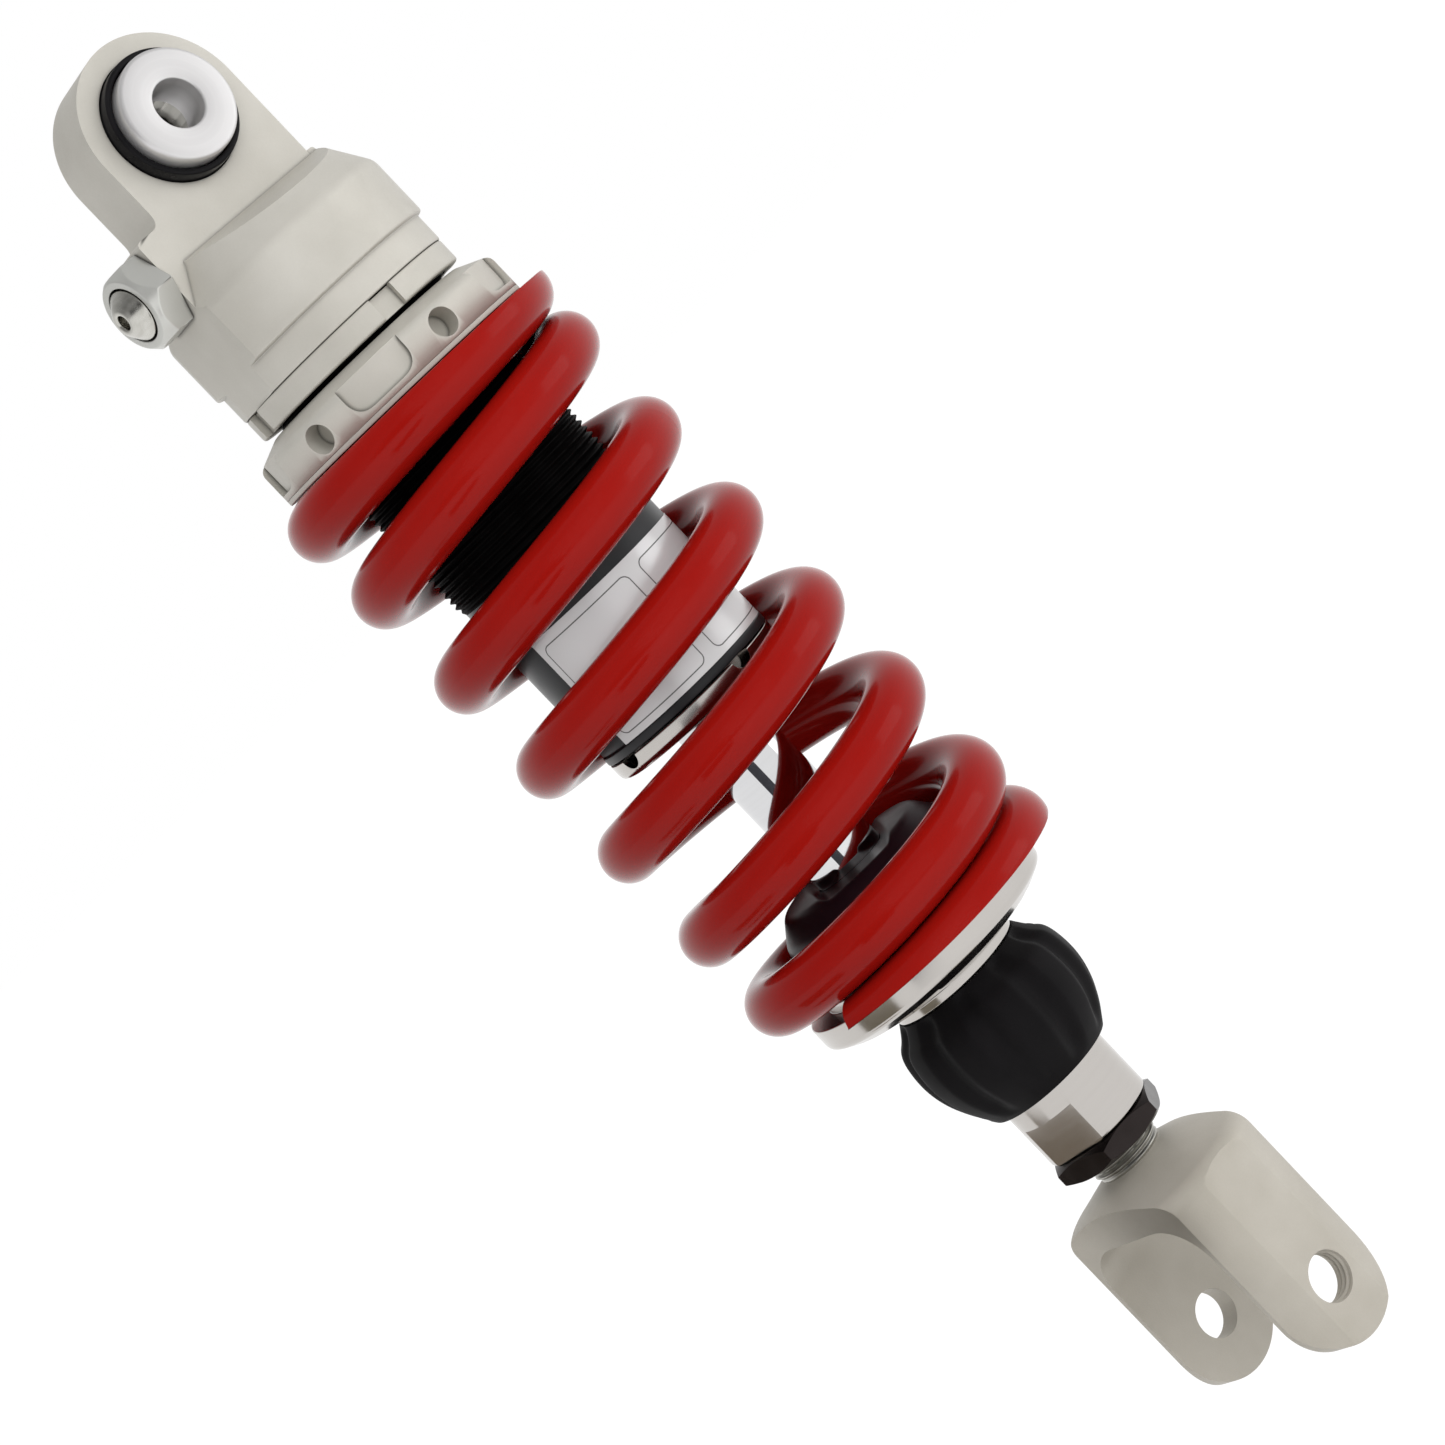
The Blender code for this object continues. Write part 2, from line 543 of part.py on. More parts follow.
def add_head(body):
    """Machined head: turned body, eye slab, valve boss and all the bores."""
    profile = [
        (0.0, LEDGE_Z + 1.0 * MM),
        (SHOULDER_RADIUS - 0.5 * MM, LEDGE_Z + 1.0 * MM),
        (SHOULDER_RADIUS, LEDGE_Z - 1.0 * MM),
        (HEAD_RADIUS - 0.3 * MM, HEAD_TOP_Z + 0.6 * MM),
        (HEAD_RADIUS, HEAD_TOP_Z - 0.4 * MM),
        (HEAD_RADIUS, SKIRT_TOP_Z + 0.4 * MM),
        (HEAD_RADIUS - 0.4 * MM, SKIRT_TOP_Z),
        (SKIRT_RADIUS, SKIRT_TOP_Z - 0.2 * MM),
        (SKIRT_RADIUS, HEAD_FOOT_Z + 0.6 * MM),
        (SKIRT_RADIUS - 0.6 * MM, HEAD_FOOT_Z),
        (0.0, HEAD_FOOT_Z),
    ]
    head = turned("head", profile, LARGE_STEPS, PART)
    half_slab = SLAB_THICKNESS / 2
    slope = math.radians(LEDGE_SLOPE)
    for side in (-1, 1):
        # The ledge falls away from the foot of the slab's face on both sides.
        reach = HEAD_RADIUS * 2
        lift = Vector((0.0, side * math.sin(slope), math.cos(slope)))
        run = Vector((0.0, side * math.cos(slope), -math.sin(slope)))
        edge = Vector((0.0, side * half_slab, LEDGE_Z))
        centre = edge + run * reach / 2 + lift * reach / 4
        size = (reach * 1.2, reach, reach / 2)
        boolean(head, block_cutter(f"ledge_{side}", size, centre, tilt=-side * LEDGE_SLOPE))
    valve_side = block_cutter(
        "valve_flat",
        (HEAD_RADIUS, HEAD_RADIUS * 3, HEAD_RADIUS * 4),
        (-VALVE_FLAT - HEAD_RADIUS / 2, 0.0, HEAD_FOOT_Z),
    )
    boolean(head, valve_side)
    slab = prism("eye_slab", head_outline(), SLAB_THICKNESS, CUTTERS, side_plane())
    boolean(head, make_cutter(slab), "UNION")
    eye_length = SLAB_THICKNESS + 2 * CUT_MARGIN
    boolean(head, rod_cutter("eye_bore", EYE_BORE_RADIUS, eye_length, (0, 0, 0), "Y", 40))

    socket_top = TUBE_TOP_Z + CLEARANCE
    chamber_top = socket_top + GAS_CHAMBER_HEIGHT
    socket = turned("tube_socket", [
        (0.0, -VALVE_DROP),
        (GALLERY_RADIUS, -VALVE_DROP),
        (GALLERY_RADIUS, chamber_top),
        (GAS_CHAMBER_RADIUS, chamber_top),
        (GAS_CHAMBER_RADIUS, socket_top),
        (THREAD_RADIUS + CLEARANCE, socket_top),
        (THREAD_RADIUS + CLEARANCE, HEAD_FOOT_Z - CUT_MARGIN),
        (0.0, HEAD_FOOT_Z - CUT_MARGIN),
    ], LARGE_STEPS, CUTTERS)
    boolean(head, make_cutter(socket))
    valve_hole = turned("valve_hole", [
        (0.0, GALLERY_RADIUS * 0.5),
        (GALLERY_RADIUS * 0.9, GALLERY_RADIUS * 0.5),
        (GALLERY_RADIUS * 0.9, -VALVE_FLAT + VALVE_SHANK_LENGTH + 1.0 * MM),
        (VALVE_SHANK_RADIUS + CLEARANCE, -VALVE_FLAT + VALVE_SHANK_LENGTH + 1.0 * MM),
        (VALVE_SHANK_RADIUS + CLEARANCE, -VALVE_FLAT - CUT_MARGIN),
        (0.0, -VALVE_FLAT - CUT_MARGIN),
    ], SMALL_STEPS, CUTTERS, axis="X", origin=(0.0, 0.0, -VALVE_DROP))
    boolean(head, make_cutter(valve_hole))
    return dress(head, "bead_blasted_aluminium", body)


def add_gas_valve(body):
    """Hexagon valve body screwed into the boss, and the coned plug that closes it."""
    hex_matrix = side_plane(180.0, VALVE_FLAT + CLEARANCE + VALVE_HEX_LENGTH / 2, -VALVE_DROP)
    valve = prism("gas_valve_body", hexagon(VALVE_HEX), VALVE_HEX_LENGTH, PART, hex_matrix)
    outer = -VALVE_FLAT - CLEARANCE - VALVE_HEX_LENGTH
    crown_radius = VALVE_HEX / 2
    corner_radius = VALVE_HEX / math.sqrt(3)
    crown = turned("valve_crown", [
        (0.0, CUT_MARGIN),
        (corner_radius + CUT_MARGIN, CUT_MARGIN),
        (corner_radius + CUT_MARGIN, -VALVE_HEX_LENGTH + (CUT_MARGIN + 1.0 * MM) * 0.5),
        (crown_radius - 0.3 * MM, -VALVE_HEX_LENGTH),
        (0.0, -VALVE_HEX_LENGTH),
    ], MEDIUM_STEPS, CUTTERS, axis="X", origin=(-VALVE_FLAT - CLEARANCE, 0.0, -VALVE_DROP))
    boolean(valve, make_cutter(crown), "INTERSECT")
    shank_end = -VALVE_FLAT + VALVE_SHANK_LENGTH
    shank = turned("valve_shank", [
        (0.0, shank_end),
        (VALVE_SHANK_RADIUS, shank_end),
        (VALVE_SHANK_RADIUS, -VALVE_FLAT - 1.0 * MM),
        (0.0, -VALVE_FLAT - 1.0 * MM),
    ], SMALL_STEPS, CUTTERS, axis="X", origin=(0.0, 0.0, -VALVE_DROP))
    boolean(valve, make_cutter(shank), "UNION")
    seat = turned("plug_seat", [
        (0.0, shank_end + CUT_MARGIN),
        (1.2 * MM, shank_end + CUT_MARGIN),
        (1.2 * MM, outer + PLUG_DEPTH + CLEARANCE),
        (PLUG_RADIUS + CLEARANCE, outer + PLUG_DEPTH + CLEARANCE),
        (PLUG_RADIUS + CLEARANCE, outer - CUT_MARGIN),
        (0.0, outer - CUT_MARGIN),
    ], SMALL_STEPS, CUTTERS, axis="X", origin=(0.0, 0.0, -VALVE_DROP))
    boolean(valve, make_cutter(seat))
    dress(valve, "turned_aluminium", body)

    plug = turned("gas_valve_plug", [
        (0.0, outer + PLUG_DEPTH),
        (PLUG_RADIUS, outer + PLUG_DEPTH),
        (PLUG_RADIUS, outer + 0.4 * MM),
        (PLUG_TIP_RADIUS + 0.4 * MM, outer - PLUG_CONE + 0.4 * MM),
        (PLUG_TIP_RADIUS, outer - PLUG_CONE),
        (0.0, outer - PLUG_CONE),
    ], SMALL_STEPS, PART, axis="X", origin=(0.0, 0.0, -VALVE_DROP))
    socket_matrix = side_plane(180.0, -outer + PLUG_CONE, -VALVE_DROP)
    socket = prism("plug_socket", hexagon(PLUG_SOCKET), 5.0 * MM, CUTTERS, socket_matrix)
    boolean(plug, make_cutter(socket))
    dress(plug, "steel", body)


def add_eye_bush(body, pin_body):
    """Rubber bush bonded in the eye, its inner sleeve and the two top-hat spacers."""
    rubber_half = SLAB_THICKNESS / 2 - RUBBER_INSET
    lip_half = rubber_half + RUBBER_LIP
    lip_radius = SPACER_RADIUS + CLEARANCE
    rubber = turned("eye_rubber_bush", [
        (SLEEVE_OUTER_RADIUS + CLEARANCE, rubber_half),
        (lip_radius, rubber_half),
        (lip_radius, lip_half),
        (EYE_BORE_RADIUS - CLEARANCE, lip_half),
        (EYE_BORE_RADIUS - CLEARANCE, -lip_half),
        (lip_radius, -lip_half),
        (lip_radius, -rubber_half),
        (SLEEVE_OUTER_RADIUS + CLEARANCE, -rubber_half),
    ], MEDIUM_STEPS, PART, axis="Y")
    dress(rubber, "rubber", body)
    sleeve_half = SLEEVE_LENGTH / 2
    sleeve = turned("eye_inner_sleeve", [
        (SLEEVE_BORE_RADIUS, sleeve_half),
        (SLEEVE_OUTER_RADIUS, sleeve_half),
        (SLEEVE_OUTER_RADIUS, -sleeve_half),
        (SLEEVE_BORE_RADIUS, -sleeve_half),
    ], MEDIUM_STEPS, PART, axis="Y")
    dress(sleeve, "steel", pin_body)
    for name, side in (("eye_spacer_front", -1), ("eye_spacer_rear", 1)):
        spigot = sleeve_half - SPIGOT_LENGTH
        shoulder = sleeve_half + CLEARANCE
        outline = [
            (BOLT_HOLE_RADIUS, SPACER_REACH),
            (SPACER_RADIUS - 0.4 * MM, SPACER_REACH),
            (SPACER_RADIUS, SPACER_REACH - 0.4 * MM),
            (SPACER_RADIUS, shoulder),
            (SLEEVE_BORE_RADIUS - CLEARANCE, shoulder),
            (SLEEVE_BORE_RADIUS - CLEARANCE, spigot),
            (BOLT_HOLE_RADIUS, spigot),
        ]
        if side < 0:
            outline = [(radius, -height) for radius, height in reversed(outline)]
        spacer = turned(name, outline, MEDIUM_STEPS, PART, axis="Y")
        dress(spacer, "turned_aluminium", pin_body)


# ---------------------------------------------------------------- damper

def add_tube(body):
    """Damper tube: threaded upper half, plain lower half, open at both ends."""
    thread_foot = HEAD_FOOT_Z - THREAD_LENGTH
    tube = turned("damper_tube", [
        (TUBE_BORE_RADIUS, TUBE_TOP_Z),
        (THREAD_RADIUS, TUBE_TOP_Z),
        (THREAD_RADIUS, thread_foot),
        (TUBE_RADIUS, thread_foot - (THREAD_RADIUS - TUBE_RADIUS)),
        (TUBE_RADIUS, TUBE_FOOT_Z),
        (TUBE_BORE_RADIUS, TUBE_FOOT_Z),
    ], LARGE_STEPS, PART)
    return dress(tube, "black_anodised", body)


def add_seal_head(body):
    """Seal head in the tube's foot, with the rod's guide, seal and wiper."""
    flange_top = TUBE_FOOT_Z - CLEARANCE
    foot = flange_top - SEAL_HEAD_FLANGE
    guide_foot = SEAL_HEAD_TOP_Z - GUIDE_LENGTH - CLEARANCE
    seal_top = foot + WIPER_HEIGHT + SEAL_HEIGHT + 2 * CLEARANCE
    guide_radius = ROD_HOLE_RADIUS + GUIDE_WALL + CLEARANCE
    seal_radius = ROD_HOLE_RADIUS + SEAL_WALL + CLEARANCE
    seal_head = turned("seal_head", [
        (guide_radius, SEAL_HEAD_TOP_Z),
        (PISTON_RADIUS, SEAL_HEAD_TOP_Z),
        (PISTON_RADIUS, flange_top),
        (SEAL_HEAD_RADIUS, flange_top),
        (SEAL_HEAD_RADIUS, foot + 1.6 * MM),
        (SEAL_HEAD_RADIUS - 0.5 * MM, foot + 0.5 * MM),
        (SEAL_HEAD_RADIUS - 1.6 * MM, foot),
        (seal_radius, foot),
        (seal_radius, seal_top),
        (ROD_HOLE_RADIUS, seal_top),
        (ROD_HOLE_RADIUS, guide_foot),
        (guide_radius, guide_foot),
    ], LARGE_STEPS, PART)
    for i in range(4):
        angle = SEAL_HEAD_NOTCH_ANGLE + 90 * i
        notch = radial_cutter(f"seal_notch_{i}", SEAL_HEAD_NOTCH_RADIUS, PISTON_RADIUS,
                              SEAL_HEAD_RADIUS + CUT_MARGIN, angle, flange_top)
        boolean(seal_head, notch)
    dress(seal_head, "turned_aluminium", body)

    guide = turned("rod_guide_bush",
                   ring_profile(ROD_HOLE_RADIUS, ROD_HOLE_RADIUS + GUIDE_WALL, GUIDE_LENGTH),
                   SMALL_STEPS, PART, z=guide_foot + CLEARANCE)
    dress(guide, "bronze", body)
    seal = turned("rod_seal",
                  ring_profile(ROD_HOLE_RADIUS, ROD_HOLE_RADIUS + SEAL_WALL, SEAL_HEIGHT),
                  SMALL_STEPS, PART, z=foot + WIPER_HEIGHT + CLEARANCE)
    dress(seal, "rubber", body)
    lip = 1.2 * MM
    wiper = turned("dust_wiper", [
        (ROD_HOLE_RADIUS, foot + WIPER_HEIGHT),
        (ROD_HOLE_RADIUS + SEAL_WALL, foot + WIPER_HEIGHT),
        (ROD_HOLE_RADIUS + SEAL_WALL, foot),
        (ROD_HOLE_RADIUS + lip, foot),
        (ROD_HOLE_RADIUS + 0.4 * MM, foot - lip),
        (ROD_HOLE_RADIUS, foot - lip),
    ], SMALL_STEPS, PART)
    dress(wiper, "rubber", body)
    return foot


def add_floating_piston(body):
    """Cup that parts the gas above from the oil below, with its O-ring."""
    top = TUBE_TOP_Z - FLOATING_DROP
    foot = top - FLOATING_HEIGHT
    groove = ORING_RADIUS * 2 + CLEARANCE
    middle = (top + foot) / 2
    groove_radius = PISTON_RADIUS - ORING_RADIUS * 2
    piston = turned("floating_piston", [
        (0.0, foot + FLOATING_WALL),
        (PISTON_RADIUS - FLOATING_WALL * 2, foot + FLOATING_WALL),
        (PISTON_RADIUS - FLOATING_WALL * 2, top),
        (PISTON_RADIUS, top),
        (PISTON_RADIUS, middle + groove / 2),
        (groove_radius, middle + groove / 2),
        (groove_radius, middle - groove / 2),
        (PISTON_RADIUS, middle - groove / 2),
        (PISTON_RADIUS, foot),
        (0.0, foot),
    ], SMALL_STEPS, PART)
    dress(piston, "turned_aluminium", body)
    ring_radius = groove_radius + ORING_RADIUS + CLEARANCE / 2
    outline = arc(ring_radius, middle, ORING_RADIUS * 0.88, 90, -210, 5)
    oring = turned("floating_piston_oring", outline, SMALL_STEPS, PART)
    dress(oring, "rubber", body)


def shim_profile(steps):
    """Stack of shims with the widest first, standing on z = 0."""
    height = SHIM_STACK_HEIGHT
    profile = [(STUD_HOLE_RADIUS, height)]
    for radius in reversed(steps):
        profile.append((radius, height))
        height -= SHIM_THICKNESS
        profile.append((radius, height))
    profile.append((STUD_HOLE_RADIUS, height))
    return profile


def add_piston_stack(body):
    """Main piston with its band, shims, stop washer, bumper and nut on the rod's stud."""
    bumper = turned("top_out_bumper",
                    ring_profile(ROD_HOLE_RADIUS, BUMPER_RADIUS, BUMPER_HEIGHT, 0.8 * MM),
                    SMALL_STEPS, PART, z=BUMPER_FOOT_Z)
    dress(bumper, "elastomer", body)
    washer = turned("stop_washer",
                    ring_profile(STUD_HOLE_RADIUS, BUMPER_RADIUS, STOP_WASHER_THICKNESS),
                    SMALL_STEPS, PART, z=STOP_WASHER_FOOT_Z)
    dress(washer, "steel", body)
    tapered_down = [(radius, SHIM_STACK_HEIGHT - height)
                    for radius, height in reversed(shim_profile(SHIM_STEPS))]
    rebound = turned("rebound_shims", tapered_down, SMALL_STEPS, PART, z=REBOUND_SHIMS_FOOT_Z)
    dress(rebound, "steel", body)
    compression = turned("compression_shims", shim_profile(SHIM_STEPS), SMALL_STEPS, PART,
                         z=COMPRESSION_SHIMS_FOOT_Z)
    dress(compression, "steel", body)

    band_foot = (PISTON_HEIGHT - PISTON_BAND_HEIGHT) / 2
    band_top = band_foot + PISTON_BAND_HEIGHT
    groove_radius = PISTON_RADIUS - PISTON_BAND_WALL - CLEARANCE
    piston = turned("piston", [
        (STUD_HOLE_RADIUS, PISTON_HEIGHT),
        (PISTON_RADIUS, PISTON_HEIGHT),
        (PISTON_RADIUS, band_top + CLEARANCE),
        (groove_radius, band_top + CLEARANCE),
        (groove_radius, band_foot - CLEARANCE),
        (PISTON_RADIUS, band_foot - CLEARANCE),
        (PISTON_RADIUS, 0.0),
        (STUD_HOLE_RADIUS, 0.0),
    ], SMALL_STEPS, PART, z=PISTON_FOOT_Z)
    port_circle = (STUD_HOLE_RADIUS + groove_radius) / 2
    for i in range(PISTON_PORTS):
        angle = PISTON_PORT_ANGLE + 360 * i / PISTON_PORTS
        centre = polar(port_circle, angle, PISTON_FOOT_Z + PISTON_HEIGHT / 2)
        length = PISTON_HEIGHT + 2 * CUT_MARGIN
        boolean(piston, rod_cutter(f"port_{i}", PISTON_PORT_RADIUS, length, centre, "Z", 8))
    dress(piston, "turned_aluminium", body)
    band = turned("piston_band",
                  ring_profile(groove_radius + CLEARANCE, PISTON_RADIUS, PISTON_BAND_HEIGHT),
                  SMALL_STEPS, PART, z=PISTON_FOOT_Z + band_foot)
    dress(band, "ptfe", body)

    nut_matrix = Matrix.Translation((0.0, 0.0, PISTON_NUT_FOOT_Z + PISTON_NUT_HEIGHT / 2))
    nut = prism("piston_nut", hexagon(PISTON_NUT_HEX), PISTON_NUT_HEIGHT, PART, nut_matrix)
    bore = rod_cutter("piston_nut_bore", STUD_HOLE_RADIUS, PISTON_NUT_HEIGHT + 2 * CUT_MARGIN,
                      nut_matrix.translation, "Z")
    boolean(nut, bore)
    dress(nut, "steel", body)


def add_rod(body, needle_body):
    """Hollow piston rod with the rebound needle inside it."""
    rod_top = STOP_WASHER_FOOT_Z - CLEARANCE
    rod = turned("piston_rod", [
        (ROD_BORE_RADIUS, STUD_TOP_Z),
        (STUD_RADIUS, STUD_TOP_Z),
        (STUD_RADIUS, rod_top),
        (ROD_RADIUS, rod_top),
        (ROD_RADIUS, ROD_FOOT_Z),
        (ROD_BORE_RADIUS, ROD_FOOT_Z),
    ], MEDIUM_STEPS, PART)
    dress(rod, "chrome", body)
    tip = 3.0 * MM
    needle_top = STUD_TOP_Z - 4.0 * MM
    needle_foot = ROD_FOOT_Z + 2.0 * MM
    needle = turned("rebound_needle", [
        (0.0, needle_top),
        (NEEDLE_RADIUS * 0.4, needle_top),
        (NEEDLE_RADIUS, needle_top - tip),
        (NEEDLE_RADIUS, needle_foot),
        (0.0, needle_foot),
    ], 12, PART)
    dress(needle, "steel", needle_body)


# ---------------------------------------------------------------- spring and its seats

def coil_height(turns):
    """Height of the wire's centre above the spring's foot, after so many turns."""
    closed_pitch = WIRE_DIAMETER + CLEARANCE
    tip = TIP_THICKNESS - WIRE_RADIUS
    climb = tip + CLOSED_TURNS * closed_pitch
    active_pitch = (SPRING_LENGTH - 2 * climb) / (SPRING_TURNS - 2 * CLOSED_TURNS)
    left = SPRING_TURNS - turns
    if turns < CLOSED_TURNS:
        return tip + turns * closed_pitch
    if left < CLOSED_TURNS:
        return SPRING_LENGTH - tip - left * closed_pitch
    return climb + (turns - CLOSED_TURNS) * active_pitch


def add_spring(body):
    """Right-hand coil with closed ends, ground flat at the top and the foot."""
    curve = bpy.data.curves.new("spring", "CURVE")
    curve.dimensions = "3D"
    curve.twist_mode = "Z_UP"
    curve.bevel_depth = WIRE_RADIUS
    curve.bevel_resolution = 2
    curve.use_fill_caps = True
    count = round(SPRING_TURNS * POINTS_PER_TURN)
    spline = curve.splines.new("POLY")
    spline.points.add(count)
    for i, point in enumerate(spline.points):
        turns = SPRING_TURNS * i / count
        centre = polar(COIL_RADIUS, SPRING_FOOT_ANGLE + 360 * turns, coil_height(turns))
        point.co = (*centre, 1.0)
    wire = bpy.data.objects.new("spring", curve)
    PART.objects.link(wire)
    wire.location.z = SPRING_FOOT_Z
    bpy.context.view_layer.update()
    spring = as_mesh(wire)
    reach = SPRING_RADIUS * 2.4
    for name, z in (("top", SPRING_TOP_Z + reach / 4), ("foot", SPRING_FOOT_Z - reach / 4)):
        boolean(spring, block_cutter(f"grind_{name}", (reach, reach, reach / 2), (0.0, 0.0, z)))
    return dress(spring, "red_powder_coat", body)


def add_preload_adjuster(washer_body, collar_body, ring_body):
    """Spring washer, castellated collar and slotted lock ring on the tube's thread."""
    washer = turned("spring_washer",
                    ring_profile(ADJUSTER_BORE_RADIUS, COLLAR_RADIUS, WASHER_THICKNESS),
                    LARGE_STEPS, PART, z=WASHER_TOP_Z - WASHER_THICKNESS)
    dress(washer, "bead_blasted_aluminium", washer_body)

    crown_foot = COLLAR_TOP_Z - COLLAR_CROWN_HEIGHT
    foot = COLLAR_TOP_Z - COLLAR_HEIGHT
    collar = turned("preload_collar", [
        (ADJUSTER_BORE_RADIUS, COLLAR_TOP_Z),
        (COLLAR_CROWN_RADIUS, COLLAR_TOP_Z),
        (COLLAR_RADIUS - 0.8 * MM, crown_foot),
        (COLLAR_RADIUS, crown_foot - 0.8 * MM),
        (COLLAR_RADIUS, foot),
        (ADJUSTER_BORE_RADIUS, foot),
    ], LARGE_STEPS, PART)
    pocket_foot = -COLLAR_HEIGHT + COLLAR_POCKET_FOOT
    outline = rounded_foot(COLLAR_POCKET_WIDTH, CUT_MARGIN, pocket_foot,
                           COLLAR_POCKET_CORNER)
    for i in range(COLLAR_POCKETS):
        angle = COLLAR_POCKET_ANGLE + 360 * i / COLLAR_POCKETS
        reach = COLLAR_RADIUS - COLLAR_POCKET_DEPTH + COLLAR_POCKET_WIDTH / 2
        matrix = side_plane(angle, reach, COLLAR_TOP_Z)
        pocket = prism(f"pocket_{i}", outline, COLLAR_POCKET_WIDTH, CUTTERS, matrix)
        boolean(collar, make_cutter(pocket))
    for i, from_pocket in enumerate(COLLAR_HOLE_ANGLES):
        hole = radial_cutter(f"collar_hole_{i}", COLLAR_HOLE_RADIUS,
                             COLLAR_RADIUS - COLLAR_HOLE_DEPTH, COLLAR_RADIUS + CUT_MARGIN,
                             COLLAR_POCKET_ANGLE + from_pocket, COLLAR_TOP_Z - COLLAR_HOLE_DROP)
        boolean(collar, hole)
    dress(collar, "bead_blasted_aluminium", collar_body)

    ring = turned("lock_ring",
                  ring_profile(ADJUSTER_BORE_RADIUS, LOCK_RING_RADIUS, LOCK_RING_HEIGHT, 0.6 * MM),
                  LARGE_STEPS, PART, z=LOCK_RING_TOP_Z - LOCK_RING_HEIGHT)
    slot_length = LOCK_RING_SLOT_DEPTH + CUT_MARGIN
    for i in range(LOCK_RING_SLOTS):
        angle = LOCK_RING_SLOT_ANGLE + 360 * i / LOCK_RING_SLOTS
        middle = LOCK_RING_RADIUS - LOCK_RING_SLOT_DEPTH + slot_length / 2
        centre = polar(middle, angle, LOCK_RING_TOP_Z - LOCK_RING_HEIGHT / 2)
        size = (slot_length, LOCK_RING_SLOT_WIDTH, LOCK_RING_HEIGHT + 2 * CUT_MARGIN)
        boolean(ring, block_cutter(f"ring_slot_{i}", size, centre, degrees=angle))
    dress(ring, "bead_blasted_aluminium", ring_body)


def add_lower_seat(body):
    """Coned lower spring seat with four spanner slots, and the bump stop on it."""
    bore = ROD_HOLE_RADIUS
    socket = EXTENSION_RADIUS + CLEARANCE
    floor = EXTENSION_TOP_Z + CLEARANCE
    spigot_top = SEAT_TOP_Z + SEAT_SPIGOT_HEIGHT
    seat = turned("lower_spring_seat", [
        (bore, spigot_top),
        (SEAT_SPIGOT_RADIUS - 0.8 * MM, spigot_top),
        (SEAT_SPIGOT_RADIUS, spigot_top - 0.8 * MM),
        (SEAT_SPIGOT_RADIUS, SEAT_TOP_Z),
        (SEAT_RADIUS, SEAT_TOP_Z),
        (SEAT_RADIUS, SEAT_RIM_FOOT_Z),
        (SEAT_RADIUS - SEAT_BEVEL, SEAT_CONE_TOP_Z),
        (SEAT_CONE_RADIUS, SEAT_CONE_FOOT_Z),
        (SEAT_NECK_RADIUS, SEAT_CONE_FOOT_Z),
        (SEAT_NECK_RADIUS, SEAT_FOOT_Z),
        (socket, SEAT_FOOT_Z),
        (socket, floor),
        (bore, floor),
    ], LARGE_STEPS, PART)
    inner = SEAT_NECK_RADIUS + 0.6 * MM
    outer = SEAT_RADIUS - SEAT_BEVEL
    for i in range(SEAT_SLOTS):
        angle = SEAT_SLOT_ANGLE + 360 * i / SEAT_SLOTS
        centre = polar((inner + outer) / 2, angle, SEAT_CONE_FOOT_Z)
        size = (outer - inner, SEAT_SLOT_WIDTH, SEAT_SLOT_DEPTH * 2)
        boolean(seat, block_cutter(f"seat_slot_{i}", size, centre, degrees=angle))
    dress(seat, "turned_aluminium", body)

    foot = spigot_top + CLEARANCE
    top = foot + BUMP_HEIGHT
    shoulder = top - BUMP_CROWN_HEIGHT - BUMP_SHOULDER_HEIGHT
    bump = turned("bump_stop", [
        (ROD_HOLE_RADIUS, top - BUMP_DISH_DEPTH),
        (ROD_HOLE_RADIUS + BUMP_DISH_DEPTH, top),
        (BUMP_TOP_RADIUS, top - BUMP_CROWN_HEIGHT),
        (BUMP_TOP_RADIUS + BUMP_SHOULDER, shoulder),
        (BUMP_RADIUS, shoulder - BUMP_FLARE_HEIGHT),
        (BUMP_RADIUS, foot + 0.8 * MM),
        (BUMP_RADIUS - 0.8 * MM, foot),
        (ROD_HOLE_RADIUS, foot),
    ], MEDIUM_STEPS, PART)
    size = (BUMP_RADIUS * 3, BUMP_CHANNEL_WIDTH, BUMP_CHANNEL_DEPTH * 2)
    boolean(bump, block_cutter("bump_channel", size, (0.0, 0.0, top),
                               degrees=BUMP_CHANNEL_ANGLE))
    dress(bump, "elastomer", body)
    return top


# ---------------------------------------------------------------- lower end

def knob_profile():
    """Barrel from the top opening round to the foot, as (radius, height above foot)."""
    return [
        (KNOB_BORE_RADIUS, KNOB_HEIGHT),
        (KNOB_TOP_RADIUS, KNOB_HEIGHT),
        (KNOB_RADIUS - 3.4 * MM, KNOB_HEIGHT - 3.2 * MM),
        (KNOB_RADIUS - 1.4 * MM, KNOB_HEIGHT - 4.6 * MM),
        (KNOB_RADIUS - 0.5 * MM, KNOB_HEIGHT - 7.4 * MM),
        (KNOB_RADIUS, KNOB_HEIGHT - 11.6 * MM),
        (KNOB_RADIUS - 0.3 * MM, KNOB_HEIGHT - 15.2 * MM),
        (KNOB_RADIUS - 1.3 * MM, KNOB_HEIGHT - 19.0 * MM),
        (KNOB_RADIUS - 3.2 * MM, KNOB_HEIGHT - 23.0 * MM),
        (KNOB_FOOT_RADIUS + 1.4 * MM, 1.6 * MM),
        (KNOB_FOOT_RADIUS, 0.0),
        (KNOB_BORE_RADIUS, 0.0),
    ]


